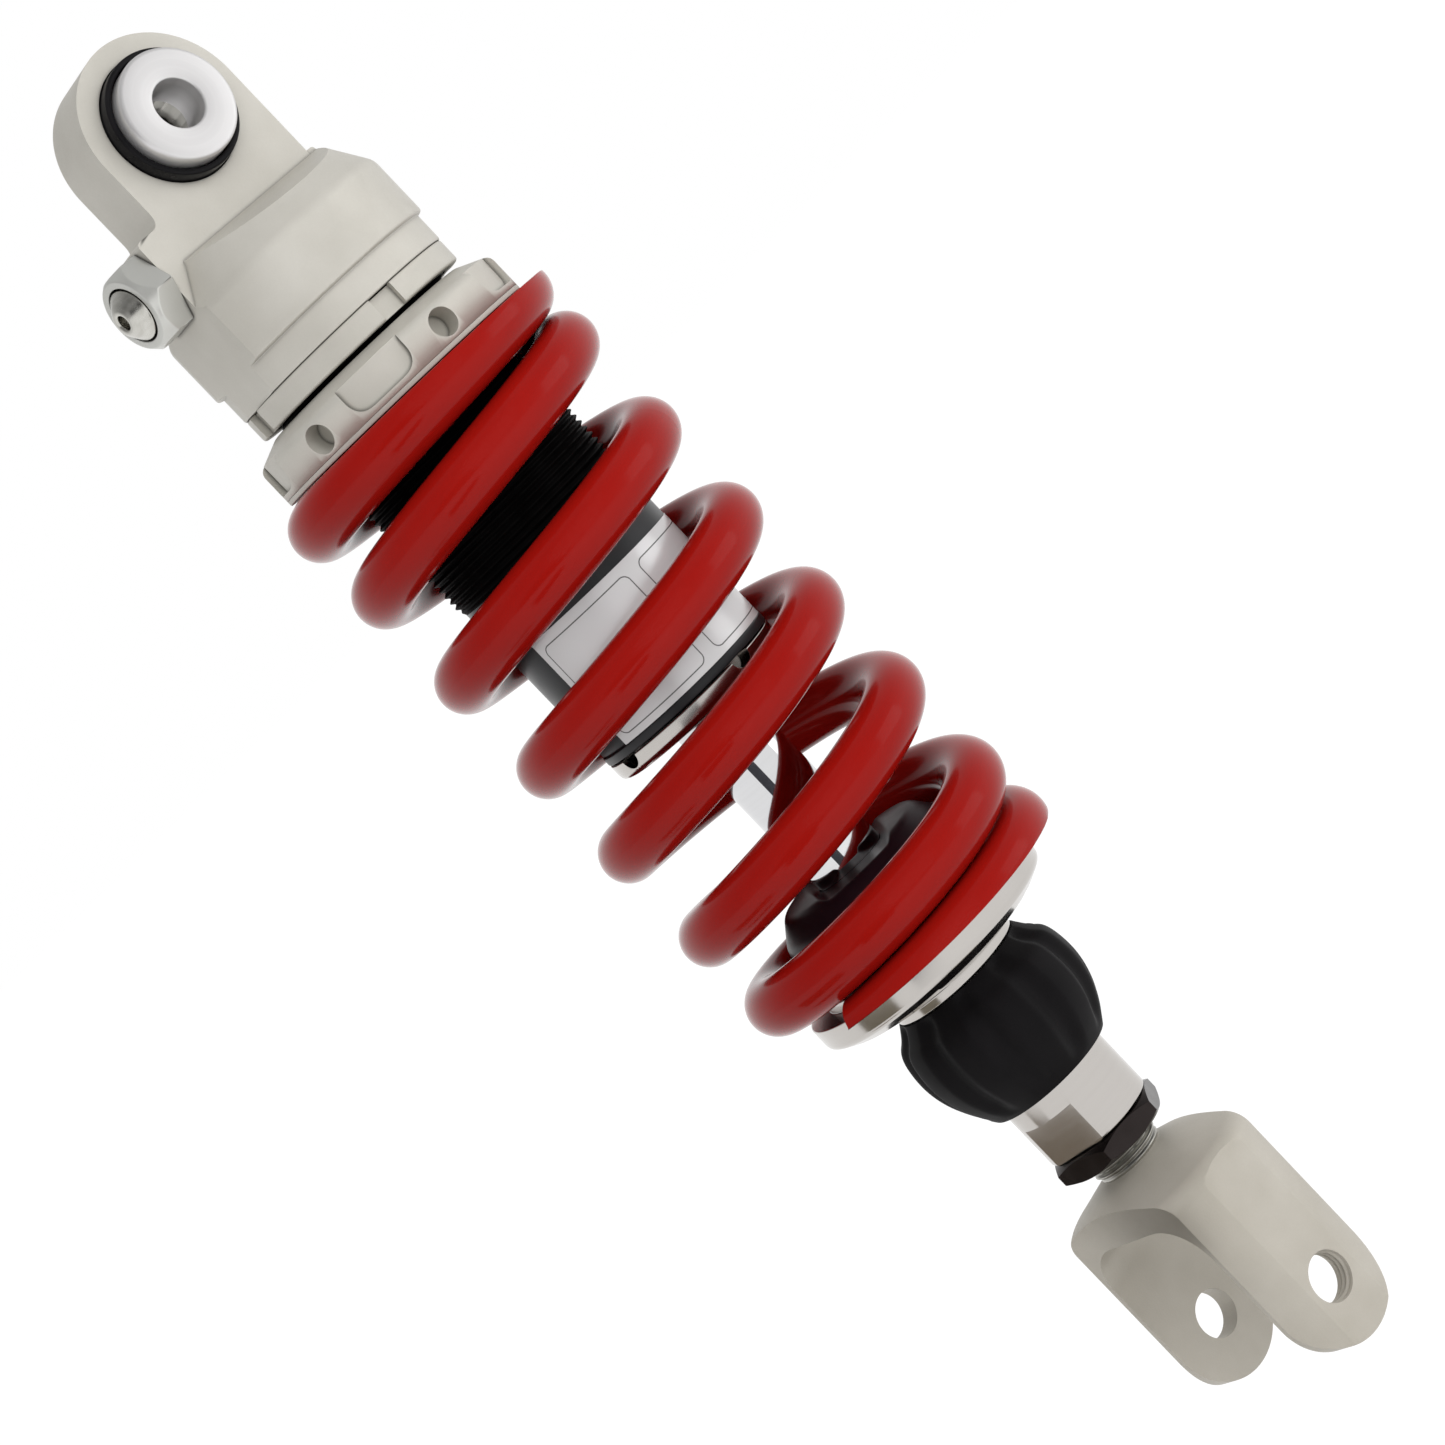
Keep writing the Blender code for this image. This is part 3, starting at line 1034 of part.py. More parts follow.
def add_knob(body):
    """Barrel-shaped rebound knob with ten upright flutes."""
    knob = turned("rebound_knob", knob_profile(), LARGE_STEPS, PART, z=KNOB_FOOT_Z)
    distance = KNOB_RADIUS - KNOB_FLUTE_DEPTH + KNOB_FLUTE_RADIUS
    for i in range(KNOB_FLUTES):
        angle = KNOB_FLUTE_ANGLE + 360 * i / KNOB_FLUTES
        centre = polar(distance, angle, KNOB_FOOT_Z + KNOB_HEIGHT / 2)
        flute = rod_cutter(f"flute_{i}", KNOB_FLUTE_RADIUS, KNOB_HEIGHT, centre, "Z")
        boolean(knob, flute)
    return dress(knob, "black_plastic", body)


def add_extension(body):
    """Shaft extension: holds the rod above and the clevis's stem below."""
    rod_socket_foot = ROD_FOOT_Z - CLEARANCE
    stem_top = rod_socket_foot - EXTENSION_WEB
    extension = turned("shaft_extension", [
        (ROD_HOLE_RADIUS, EXTENSION_TOP_Z),
        (EXTENSION_RADIUS, EXTENSION_TOP_Z),
        (EXTENSION_RADIUS, EXTENSION_FOOT_Z + 0.4 * MM),
        (EXTENSION_RADIUS - 0.4 * MM, EXTENSION_FOOT_Z),
        (STEM_HOLE_RADIUS, EXTENSION_FOOT_Z),
        (STEM_HOLE_RADIUS, stem_top),
        (ROD_BORE_RADIUS, stem_top),
        (ROD_BORE_RADIUS, rod_socket_foot),
        (ROD_HOLE_RADIUS, rod_socket_foot),
    ], MEDIUM_STEPS, PART)
    for side in (0, 180):
        angle = EXTENSION_FLATS_ANGLE + side
        middle = EXTENSION_RADIUS * 1.5 - EXTENSION_FLAT_DEPTH
        centre = polar(middle, angle, EXTENSION_FOOT_Z)
        size = (EXTENSION_RADIUS, EXTENSION_RADIUS * 2, EXTENSION_FLATS_HEIGHT * 2)
        boolean(extension, block_cutter(f"spanner_flat_{side}", size, centre, degrees=angle))
    return dress(extension, "turned_aluminium", body)


def add_lock_nut(body):
    """Thin hexagon nut that locks the clevis's stem."""
    foot = LOCK_NUT_TOP_Z - LOCK_NUT_HEIGHT
    centre = Vector((0.0, 0.0, foot + LOCK_NUT_HEIGHT / 2))
    nut = prism("lock_nut", hexagon(LOCK_NUT_HEX, LOCK_NUT_ANGLE), LOCK_NUT_HEIGHT, PART,
                Matrix.Translation(centre))
    corner = LOCK_NUT_HEX / math.sqrt(3)
    chamfer = corner - LOCK_NUT_HEX / 2
    crown = turned("nut_crown", [
        (0.0, LOCK_NUT_HEIGHT),
        (corner - chamfer, LOCK_NUT_HEIGHT),
        (corner, LOCK_NUT_HEIGHT - chamfer / 2),
        (corner, chamfer / 2),
        (corner - chamfer, 0.0),
        (0.0, 0.0),
    ], MEDIUM_STEPS, CUTTERS, z=foot)
    boolean(nut, make_cutter(crown), "INTERSECT")
    boolean(nut, rod_cutter("nut_bore", STEM_HOLE_RADIUS, LOCK_NUT_HEIGHT + 2 * CUT_MARGIN,
                            centre, "Z", MEDIUM_STEPS))
    return dress(nut, "blued_steel", body)


def add_clevis(body):
    """Clevis turned from bar: domed crown, two milled sides, arched slot and stem."""
    side_z = CLEVIS_TOP_Z - CLEVIS_CROWN_FALL
    ease = CLEVIS_CROWN_ROUND
    foot = CLEVIS_BOLT_Z - CLEVIS_EAR_RADIUS - CUT_MARGIN
    profile = [
        (0.0, CLEVIS_TOP_Z + STEM_LENGTH),
        (STEM_RADIUS - 0.8 * MM, CLEVIS_TOP_Z + STEM_LENGTH),
        (STEM_RADIUS, CLEVIS_TOP_Z + STEM_LENGTH - 0.8 * MM),
        (STEM_RADIUS, CLEVIS_TOP_Z),
    ]
    profile += arc(CLEVIS_BAR_RADIUS - ease, side_z - ease, ease, 75, 0, 5)
    profile += [(CLEVIS_BAR_RADIUS, foot), (0.0, foot)]
    clevis = turned("clevis", profile, LARGE_STEPS, PART)

    ear = [(-CLEVIS_EAR_RADIUS, STEM_LENGTH + CLEVIS_DROP + CUT_MARGIN)]
    ear += arc(0.0, 0.0, CLEVIS_EAR_RADIUS, 180, 360, 24)
    ear.append((CLEVIS_EAR_RADIUS, STEM_LENGTH + CLEVIS_DROP + CUT_MARGIN))
    ears = prism("clevis_ears", ear, CLEVIS_HALF_WIDTH * 2, CUTTERS,
                 side_plane(z=CLEVIS_BOLT_Z))
    boolean(clevis, make_cutter(ears), "INTERSECT")

    half = CLEVIS_SLOT_WIDTH / 2
    root = CLEVIS_DROP - CLEVIS_ROOT_DROP
    inner = half - CLEVIS_ROOT_RADIUS
    slot = [(-half, -CLEVIS_EAR_RADIUS - CUT_MARGIN * 2)]
    slot += arc(-inner, root - CLEVIS_ROOT_RADIUS, CLEVIS_ROOT_RADIUS, 180, 90, 8)
    slot += arc(inner, root - CLEVIS_ROOT_RADIUS, CLEVIS_ROOT_RADIUS, 90, 0, 8)
    slot.append((half, -CLEVIS_EAR_RADIUS - CUT_MARGIN * 2))
    opening = prism("clevis_slot", slot, CLEVIS_EAR_RADIUS * 2 + 2 * CUT_MARGIN, CUTTERS,
                    side_plane(0.0, z=CLEVIS_BOLT_Z))
    boolean(clevis, make_cutter(opening))
    hole = rod_cutter("clevis_bolt_hole", BOLT_HOLE_RADIUS, CLEVIS_HALF_WIDTH * 2 + 2 * CUT_MARGIN,
                      (0.0, 0.0, CLEVIS_BOLT_Z), "Y", 24)
    boolean(clevis, hole)
    return dress(clevis, "bead_blasted_aluminium", body)


# ---------------------------------------------------------------- assembly

clear_scene()
PART = new_collection("rear_shock_absorber")
CUTTERS = new_collection("cutters")

damper = carrier("damper")
eye_pin = carrier("eye_pin", damper)
washer_slide = carrier("preload_slide", damper, WASHER_TOP_Z)
collar_turn = carrier("collar_turn", washer_slide, COLLAR_TOP_Z)
ring_turn = carrier("lock_ring_turn", washer_slide, LOCK_RING_TOP_Z)
floating = carrier("floating_piston_slide", damper, TUBE_TOP_Z - FLOATING_DROP)
rod = carrier("rod_slide", damper, SEAT_TOP_Z)
needle_slide = carrier("needle_slide", rod, ROD_FOOT_Z)
knob_turn = carrier("rebound_turn", rod, KNOB_FOOT_Z)
nut_turn = carrier("lock_nut_turn", rod, LOCK_NUT_TOP_Z)
clevis_slide = carrier("clevis_slide", rod, CLEVIS_TOP_Z)

add_head(damper)
add_gas_valve(damper)
add_eye_bush(damper, eye_pin)
add_tube(damper)
seal_head_foot = add_seal_head(damper)
add_spring(damper)
add_preload_adjuster(washer_slide, collar_turn, ring_turn)
add_floating_piston(floating)
add_rod(rod, needle_slide)
add_piston_stack(rod)
bump_stop_top = add_lower_seat(rod)
add_extension(rod)
add_knob(knob_turn)
add_lock_nut(nut_turn)
add_clevis(clevis_slide)

print(f"bolt centres {-CLEVIS_BOLT_Z / MM:.1f} mm")
print(f"free travel to the bump stop {(seal_head_foot - bump_stop_top) / MM:.1f} mm")
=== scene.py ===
import json
import math

import bmesh
import bpy
import numpy as np
from mathutils import Matrix, Vector


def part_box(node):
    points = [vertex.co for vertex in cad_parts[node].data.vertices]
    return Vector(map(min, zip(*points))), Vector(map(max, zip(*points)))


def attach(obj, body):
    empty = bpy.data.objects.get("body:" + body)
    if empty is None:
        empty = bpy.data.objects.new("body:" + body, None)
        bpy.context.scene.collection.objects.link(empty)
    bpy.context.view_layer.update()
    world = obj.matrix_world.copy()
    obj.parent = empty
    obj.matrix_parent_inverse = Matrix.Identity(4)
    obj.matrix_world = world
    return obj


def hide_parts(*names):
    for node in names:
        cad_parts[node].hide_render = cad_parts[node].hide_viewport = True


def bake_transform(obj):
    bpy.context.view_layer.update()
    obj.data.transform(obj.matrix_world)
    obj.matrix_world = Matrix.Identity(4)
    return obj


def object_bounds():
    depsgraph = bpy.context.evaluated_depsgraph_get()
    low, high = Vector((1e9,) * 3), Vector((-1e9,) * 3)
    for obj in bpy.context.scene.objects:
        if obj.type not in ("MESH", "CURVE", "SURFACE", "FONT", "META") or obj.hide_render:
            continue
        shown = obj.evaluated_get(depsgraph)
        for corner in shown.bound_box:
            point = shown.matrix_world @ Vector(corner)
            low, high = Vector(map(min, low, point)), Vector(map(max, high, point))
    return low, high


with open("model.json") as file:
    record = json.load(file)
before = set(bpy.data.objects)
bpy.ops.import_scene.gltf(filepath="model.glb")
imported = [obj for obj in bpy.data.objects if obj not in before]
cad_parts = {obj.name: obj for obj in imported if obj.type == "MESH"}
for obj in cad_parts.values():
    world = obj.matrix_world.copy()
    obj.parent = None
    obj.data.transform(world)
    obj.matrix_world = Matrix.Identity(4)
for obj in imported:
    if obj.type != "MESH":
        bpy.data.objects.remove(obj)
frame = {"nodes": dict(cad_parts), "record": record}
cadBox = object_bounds()
scene = bpy.context.scene
mm = 0.001
print("frame loaded")


def top(node):
    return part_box(node)[1].z


def foot(node):
    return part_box(node)[0].z


def span(node):
    # highest and lowest z of a CAD node, in mm
    return top(node) / mm, foot(node) / mm


def fullTurn(steps):
    # the angles of one turn, as a row
    return np.linspace(0, 2 * math.pi, steps, endpoint=False)[None]


def swept(radius, angle, height):
    # cylinder coordinates to points: x = r cos a, y = r sin a, z = h
    return np.stack([radius * np.cos(angle), radius * np.sin(angle), height + 0 * angle], -1)


def turnedRows(line, angle):
    # each (radius, height) of a line becomes one row of points round the axis
    line = np.asarray(line, float)
    return swept(line[:, :1], angle, line[:, 1:])


def smooth(t):
    # 0 to 1 with a soft start and end: 3 t squared less 2 t cubed
    t = np.clip(t, 0, 1)
    return t * t * (3 - 2 * t)


def evenly(line, count, endpoint=True):
    # radius and height of points spaced evenly along a line
    along = np.concatenate([[0], np.cumsum(np.linalg.norm(np.diff(line, axis=0), axis=1))])
    even = np.linspace(0, along[-1], count, endpoint=endpoint)
    return [np.interp(even, along, line[:, k])[:, None] for k in (0, 1)]


def meshObject(name, points, faces, sharpAngle=40.0):
    # points is an (n, 3) array in metres; faces is a list of index rows that face outwards by
    # the right-hand rule
    mesh = bpy.data.meshes.new(name)
    mesh.from_pydata(np.asarray(points).tolist(), [], [list(face) for face in faces])
    mesh.shade_smooth()
    mesh.set_sharp_from_angle(angle=math.radians(sharpAngle))
    piece = bpy.data.objects.new(name, mesh)
    scene.collection.objects.link(piece)
    return piece


def gridFaces(rows, columns, closedRows=False, closedColumns=True):
    # quads between neighbours of a grid that is numbered row by row
    i, j = np.meshgrid(
        np.arange(rows if closedRows else rows - 1),
        np.arange(columns if closedColumns else columns - 1),
        indexing="ij",
    )
    nextRow, nextColumn = (i + 1) % rows, (j + 1) % columns
    corners = [(i, j), (nextRow, j), (nextRow, nextColumn), (i, nextColumn)]
    return np.stack([a * columns + b for a, b in corners], -1).reshape(-1, 4).tolist()


def placed(points, matrix):
    # points turned and moved by a 4 x 4 matrix
    turn = np.array(matrix.to_3x3())
    return np.asarray(points) @ turn.T + np.array(matrix.translation)


def gridSolid(name, grid, matrix=Matrix.Identity(4), closedRows=True, sharpAngle=40.0):
    # a grid of (rows, columns, 3) closed round its columns; open rows are closed by flat caps
    rows, columns = grid.shape[:2]
    faces = gridFaces(rows, columns, closedRows)
    if not closedRows:
        faces.append(list(range(columns)))
        faces.append(list(range((rows - 1) * columns, rows * columns))[::-1])
    return meshObject(name, placed(grid.reshape(-1, 3), matrix), faces, sharpAngle)


def eased(corners, ease, closed=True, count=5):
    # each corner becomes a parabola that starts and ends at most `ease` before and after it
    corners = np.asarray(corners, float)
    eases = np.broadcast_to(ease, len(corners))
    s = np.linspace(0.0, 1.0, count)[:, None]
    line = []
    for k, corner in enumerate(corners):
        if not closed and k in (0, len(corners) - 1) or eases[k] == 0:
            line.append(corner[None])
            continue
        before = corners[k - 1] - corner
        after = corners[(k + 1) % len(corners)] - corner
        a = corner + before * min(eases[k] / np.linalg.norm(before), 0.48)
        b = corner + after * min(eases[k] / np.linalg.norm(after), 0.48)
        line.append((1 - s) ** 2 * a + 2 * s * (1 - s) * corner + s ** 2 * b)
    return np.concatenate(line)


def aboutAxis(axis, origin=(0.0, 0.0, 0.0)):
    # lays a shape made along Z along the named axis
    turns = {"X": Matrix.Rotation(math.pi / 2, 4, "Y"), "Y": Matrix.Rotation(-math.pi / 2, 4, "X")}
    return Matrix.Translation(origin) @ turns.get(axis, Matrix.Identity(4))


def revolved(name, profile, steps=144, matrix=Matrix.Identity(4), sharpAngle=40.0):
    # a profile of (radius, height) in mm turned about Z. It runs down the outer side, and
    # either closes on itself or starts and ends on the axis.
    profile = np.asarray(profile, float) * mm
    onAxis = profile[0, 0] == 0.0
    ring = profile[1:-1] if onAxis else profile
    points = turnedRows(ring, fullTurn(steps)).reshape(-1, 3)
    faces = gridFaces(len(ring), steps, closedRows=not onAxis)
    if onAxis:
        last = len(points)
        around = np.arange(steps)
        ahead = (around + 1) % steps
        base = last - steps
        points = np.vstack([points, [[0, 0, profile[0, 1]], [0, 0, profile[-1, 1]]]])
        faces += np.stack([around * 0 + last, around, ahead], -1).tolist()
        faces += np.stack([around * 0 + last + 1, base + ahead, base + around], -1).tolist()
    return meshObject(name, placed(points, matrix), faces, sharpAngle)


def prism(name, outline, depth, matrix=Matrix.Identity(4)):
    # an outline in mm, counter-clockwise, drawn out by depth, half to each side of its plane
    outline = np.asarray(outline, float) * mm
    count = len(outline)
    upper = np.column_stack([outline, np.full(count, depth * mm / 2)])
    lower = np.column_stack([outline, np.full(count, -depth * mm / 2)])
    i = np.arange(count)
    j = (i + 1) % count
    faces = np.stack([i, i + count, j + count, j], -1).tolist()
    faces.append(i.tolist())
    faces.append((i[::-1] + count).tolist())
    return meshObject(name, placed(np.vstack([upper, lower]), matrix), faces)


def arc(x, y, radius, start, end, count):
    # points on a circle from start to end, in degrees
    a = np.radians(np.linspace(start, end, count + 1))
    return np.column_stack([x + radius * np.cos(a), y + radius * np.sin(a)])


def block(name, size, centre, turn=0.0):
    # a box of size (x, y, z) in mm, turned about Z
    x, y, z = np.asarray(size) / 2
    matrix = Matrix.Translation(Vector(centre) * mm) @ Matrix.Rotation(math.radians(turn), 4, "Z")
    return prism(name, [(-x, -y), (x, -y), (x, y), (-x, y)], 2 * z, matrix)


def blocksRound(name, size, reach, z, angles):
    # boxes whose middles lie on a circle about the axis, each turned to face it
    tools = []
    for k, angle in enumerate(angles):
        a = math.radians(angle)
        centre = (reach * math.cos(a), reach * math.sin(a), z)
        tools.append(block(f"{name}{k}", size, centre, angle))
    return tools


def spacedRound(start, count=4):
    # angles spaced evenly round the axis
    return [start + 360 * k / count for k in range(count)]


def outward(degrees, distance=0.0, z=0.0):
    # an upright plane facing away from the damper's axis: x is tangential, y is up; mm
    a = math.radians(degrees)
    away = Vector((math.cos(a), math.sin(a), 0.0))
    across = Vector((-away.y, away.x, 0.0))
    matrix = Matrix((across, Vector((0, 0, 1)), away)).transposed().to_4x4()
    matrix.translation = (away * distance + Vector((0, 0, z))) * mm
    return matrix


def drill(name, radius, length, matrix, steps=48):
    # a round tool along the matrix's z axis, centred on its origin
    half = length / 2
    return revolved(name, [(0, half), (radius, half), (radius, -half), (0, -half)], steps, matrix)


def settle(piece):
    # replaces the mesh by what the modifiers make of it
    depsgraph = bpy.context.evaluated_depsgraph_get()
    mesh = bpy.data.meshes.new_from_object(piece.evaluated_get(depsgraph))
    piece.modifiers.clear()
    piece.data = mesh
    return piece


def combine(piece, tools, operation="DIFFERENCE"):
    # cuts, joins or crosses the piece with every tool in turn
    for tool in tools:
        modifier = piece.modifiers.new(tool.name, "BOOLEAN")
        modifier.operation = operation
        modifier.solver = "EXACT"
        modifier.object = tool
    settle(piece)
    for tool in tools:
        bpy.data.objects.remove(tool)
    return piece


def broken(piece, width, segments=3):
    # merges what the cutting left behind, then breaks every sharp edge by a small round and
    # keeps the flats flat
    speck = 0.004 * mm
    cleaner = bmesh.new()
    cleaner.from_mesh(piece.data)
    bmesh.ops.remove_doubles(cleaner, verts=cleaner.verts, dist=speck)
    bmesh.ops.dissolve_degenerate(cleaner, edges=cleaner.edges, dist=speck)
    for edge in cleaner.edges:
        edge.smooth = True
    cleaner.to_mesh(piece.data)
    cleaner.free()
    bevel = piece.modifiers.new("edges", "BEVEL")
    bevel.width = width * mm
    bevel.segments = segments
    bevel.limit_method = "ANGLE"
    bevel.angle_limit = math.radians(32.0)
    bevel.use_clamp_overlap = True
    bevel.miter_outer = "MITER_ARC"
    weighted = piece.modifiers.new("flats", "WEIGHTED_NORMAL")
    weighted.keep_sharp = True
    weighted.weight = 80
    return settle(piece)


def shaderNodes(name):
    material = bpy.data.materials.new(name)
    material.use_nodes = True
    return material, material.node_tree.nodes, material.node_tree.links


def newGroup(name, inputs, outputs):
    # an effect that several materials share
    group = bpy.data.node_groups.new(name, "ShaderNodeTree")
    for socketName, kind, value in inputs:
        socket = group.interface.new_socket(socketName, in_out="INPUT", socket_type=kind)
        if value is not None:
            socket.default_value = value
    for socketName, kind in outputs:
        group.interface.new_socket(socketName, in_out="OUTPUT", socket_type=kind)
    return group, group.nodes.new("NodeGroupInput"), group.nodes.new("NodeGroupOutput")


def groupNode(nodes, tree, **values):
    # places a shared effect with values of its own
    node = nodes.new("ShaderNodeGroup")
    node.node_tree = tree
    for socketName, value in values.items():
        node.inputs[socketName].default_value = value
    return node


def noiseNode(tree, scale, detail=3.0, rough=0.5):
    node = tree.nodes.new("ShaderNodeTexNoise")
    node.inputs["Scale"].default_value = scale
    node.inputs["Detail"].default_value = detail
    node.inputs["Roughness"].default_value = rough
    return node


def mathNode(tree, operation, a=None, b=None, c=None):
    # a number is set on the node's socket, and an output is linked to it
    node = tree.nodes.new("ShaderNodeMath")
    node.operation = operation
    for socket, value in zip(node.inputs, (a, b, c)):
        if value is None:
            continue
        if isinstance(value, (int, float)):
            socket.default_value = value
        else:
            tree.links.new(value, socket)
    return node.outputs[0]


def makeBlastGroup():
    # fine pits from bead blasting, with slow cloudy changes of tone
    group, entry, leave = newGroup(
        "beadBlast",
        [("Vector", "NodeSocketVector", None), ("Grain", "NodeSocketFloat", 2600.0)],
        [("Height", "NodeSocketFloat"), ("Cloud", "NodeSocketFloat")],
    )
    fine = noiseNode(group, 1.0, 2.0, 0.6)
    slow = noiseNode(group, 55.0, 3.0, 0.55)
    group.links.new(entry.outputs["Vector"], fine.inputs["Vector"])
    group.links.new(entry.outputs["Grain"], fine.inputs["Scale"])
    group.links.new(entry.outputs["Vector"], slow.inputs["Vector"])
    group.links.new(fine.outputs["Fac"], leave.inputs["Height"])
    group.links.new(slow.outputs["Fac"], leave.inputs["Cloud"])
    return group


def makeLatheGroup():
    # rings left by a turning tool: noise of (distance from the axis, place along it)
    group, entry, leave = newGroup(
        "latheRings",
        [("Vector", "NodeSocketVector", None), ("Rings", "NodeSocketFloat", 9000.0)],
        [("Height", "NodeSocketFloat"), ("Streak", "NodeSocketFloat")],
    )
    parts = group.nodes.new("ShaderNodeSeparateXYZ")
    group.links.new(entry.outputs["Vector"], parts.inputs[0])
    xSquared = mathNode(group, "MULTIPLY", parts.outputs["X"], parts.outputs["X"])
    ySquared = mathNode(group, "MULTIPLY", parts.outputs["Y"], parts.outputs["Y"])
    radius = mathNode(group, "SQRT", mathNode(group, "ADD", xSquared, ySquared))
    flat = group.nodes.new("ShaderNodeCombineXYZ")
    group.links.new(radius, flat.inputs["X"])
    group.links.new(parts.outputs["Z"], flat.inputs["Y"])
    fine = noiseNode(group, 1.0, 1.0, 0.5)
    broad = noiseNode(group, 900.0, 2.0, 0.5)
    group.links.new(flat.outputs[0], fine.inputs["Vector"])
    group.links.new(entry.outputs["Rings"], fine.inputs["Scale"])
    group.links.new(flat.outputs[0], broad.inputs["Vector"])
    group.links.new(fine.outputs["Fac"], leave.inputs["Height"])
    group.links.new(broad.outputs["Fac"], leave.inputs["Streak"])
    return group


def makeHollowShadeGroup(name, ownOnly):
    # painted shade: 1 in the open, less by up to Depth inside grooves and along inner corners, where
    # shade would fall; it heeds the piece's own surfaces only, or its neighbours' too. Reach is in
    # mm.
    group, entry, leave = newGroup(
        name,
        [("Reach", "NodeSocketFloat", 0.8), ("Depth", "NodeSocketFloat", 0.4)],
        [("Open", "NodeSocketFloat")],
    )
    hollow = group.nodes.new("ShaderNodeAmbientOcclusion")
    hollow.samples = 8
    hollow.only_local = ownOnly
    reach = mathNode(group, "MULTIPLY", entry.outputs["Reach"], mm)
    group.links.new(reach, hollow.inputs["Distance"])
    fall = group.nodes.new("ShaderNodeMapRange")
    fall.inputs["From Min"].default_value = 0.45
    fall.inputs["From Max"].default_value = 0.92
    group.links.new(hollow.outputs["AO"], fall.inputs["Value"])
    rest = mathNode(group, "SUBTRACT", 1.0, entry.outputs["Depth"])
    lit = mathNode(group, "MULTIPLY_ADD", fall.outputs["Result"], entry.outputs["Depth"], rest)
    group.links.new(lit, leave.inputs["Open"])
    return group


blastGroup = makeBlastGroup()
latheGroup = makeLatheGroup()
# painted shade in a piece's own hollows, and painted contact shadow where pieces meet
hollowShadeGroup = makeHollowShadeGroup("creviceShade", True)
contactShadeGroup = makeHollowShadeGroup("contactShade", False)
noiseSpan = (0.3, 0.7)  # where nearly all of a noise's values lie
noChange = (0.0, 0.0, 0.0)


def objectVector(nodes, links, turn=noChange, move=noChange):
    # the piece's own coordinates, turned and moved so that its axis lies along Z
    coordinates = nodes.new("ShaderNodeTexCoord")
    mapping = nodes.new("ShaderNodeMapping")
    mapping.inputs["Location"].default_value = move
    mapping.inputs["Rotation"].default_value = turn
    links.new(coordinates.outputs["Object"], mapping.inputs["Vector"])
    return mapping.outputs["Vector"]


def rampNode(nodes, links, factor, ends, colours):
    # one colour below the first end, the other above the second, and a blend between
    ramp = nodes.new("ShaderNodeValToRGB")
    for element, end, colour in zip(ramp.color_ramp.elements, ends, colours):
        element.position = end
        element.color = (*colour, 1.0)
    links.new(factor, ramp.inputs["Fac"])
    return ramp.outputs["Color"]


def rangeNode(nodes, links, value, fromRange, toRange):
    node = nodes.new("ShaderNodeMapRange")
    node.inputs["From Min"].default_value, node.inputs["From Max"].default_value = fromRange
    node.inputs["To Min"].default_value, node.inputs["To Max"].default_value = toRange
    links.new(value, node.inputs["Value"])
    return node.outputs["Result"]


def bumpNode(nodes, links, height, strength, distance):
    bump = nodes.new("ShaderNodeBump")
    bump.inputs["Strength"].default_value = strength
    bump.inputs["Distance"].default_value = distance * mm
    links.new(height, bump.inputs["Height"])
    return bump.outputs["Normal"]


def withPaintedShade(nodes, links, colour, shadeGroup, reach, depth):
    # painted shade: darkens a colour where the surface is hemmed in and shade would fall
    group = groupNode(nodes, shadeGroup, Reach=reach, Depth=depth)
    scale = nodes.new("ShaderNodeVectorMath")
    scale.operation = "SCALE"
    links.new(colour, scale.inputs[0])
    links.new(group.outputs["Open"], scale.inputs["Scale"])
    return scale.outputs["Vector"]


def dressed(nodes, links, colour, rough, normal):
    # feeds the shader's colour, roughness and normal
    shader = nodes["Principled BSDF"]
    for value, socketName in ((colour, "Base Color"), (rough, "Roughness"), (normal, "Normal")):
        links.new(value, shader.inputs[socketName])
    return shader


def blasted(name, look):
    # bead-blasted metal: soft sheen, faint clouds, fine pitted grain, and painted shade in its
    # hollows
    material, nodes, links = shaderNodes(name)
    grain = groupNode(nodes, blastGroup, Grain=look["grain"])
    links.new(objectVector(nodes, links), grain.inputs["Vector"])
    colour = rampNode(nodes, links, grain.outputs["Cloud"], noiseSpan, look["colours"])
    # painted shade: the colour darkens in hollows and inner corners
    colour = withPaintedShade(nodes, links, colour, *look.get("hollowShade", (hollowShadeGroup, 0.9, 0.55)))
    rough = rangeNode(nodes, links, grain.outputs["Height"], noiseSpan, look["roughness"])
    normal = bumpNode(nodes, links, grain.outputs["Height"], look["bump"], 0.05)
    shader = dressed(nodes, links, colour, rough, normal)
    shader.inputs["Metallic"].default_value = look["metallic"]
    return material


def turnedMetal(name, look):
    # lathe-turned metal: fine rings about the axis, broader streaks of tone, and painted shade in its
    # hollows
    material, nodes, links = shaderNodes(name)
    lathe = groupNode(nodes, latheGroup, Rings=look["rings"])
    vector = objectVector(nodes, links, look.get("turn", noChange), look.get("move", noChange))
    links.new(vector, lathe.inputs["Vector"])
    colour = rampNode(nodes, links, lathe.outputs["Streak"], noiseSpan, look["colours"])
    # painted shade: the colour darkens in grooves and inner corners
    colour = withPaintedShade(nodes, links, colour, hollowShadeGroup, 0.7, 0.6)
    rough = rangeNode(nodes, links, lathe.outputs["Streak"], noiseSpan, look["roughness"])
    normal = bumpNode(nodes, links, lathe.outputs["Height"], look["bump"], 0.01)
    shader = dressed(nodes, links, colour, rough, normal)
    shader.inputs["Metallic"].default_value = look["metallic"]
    return material


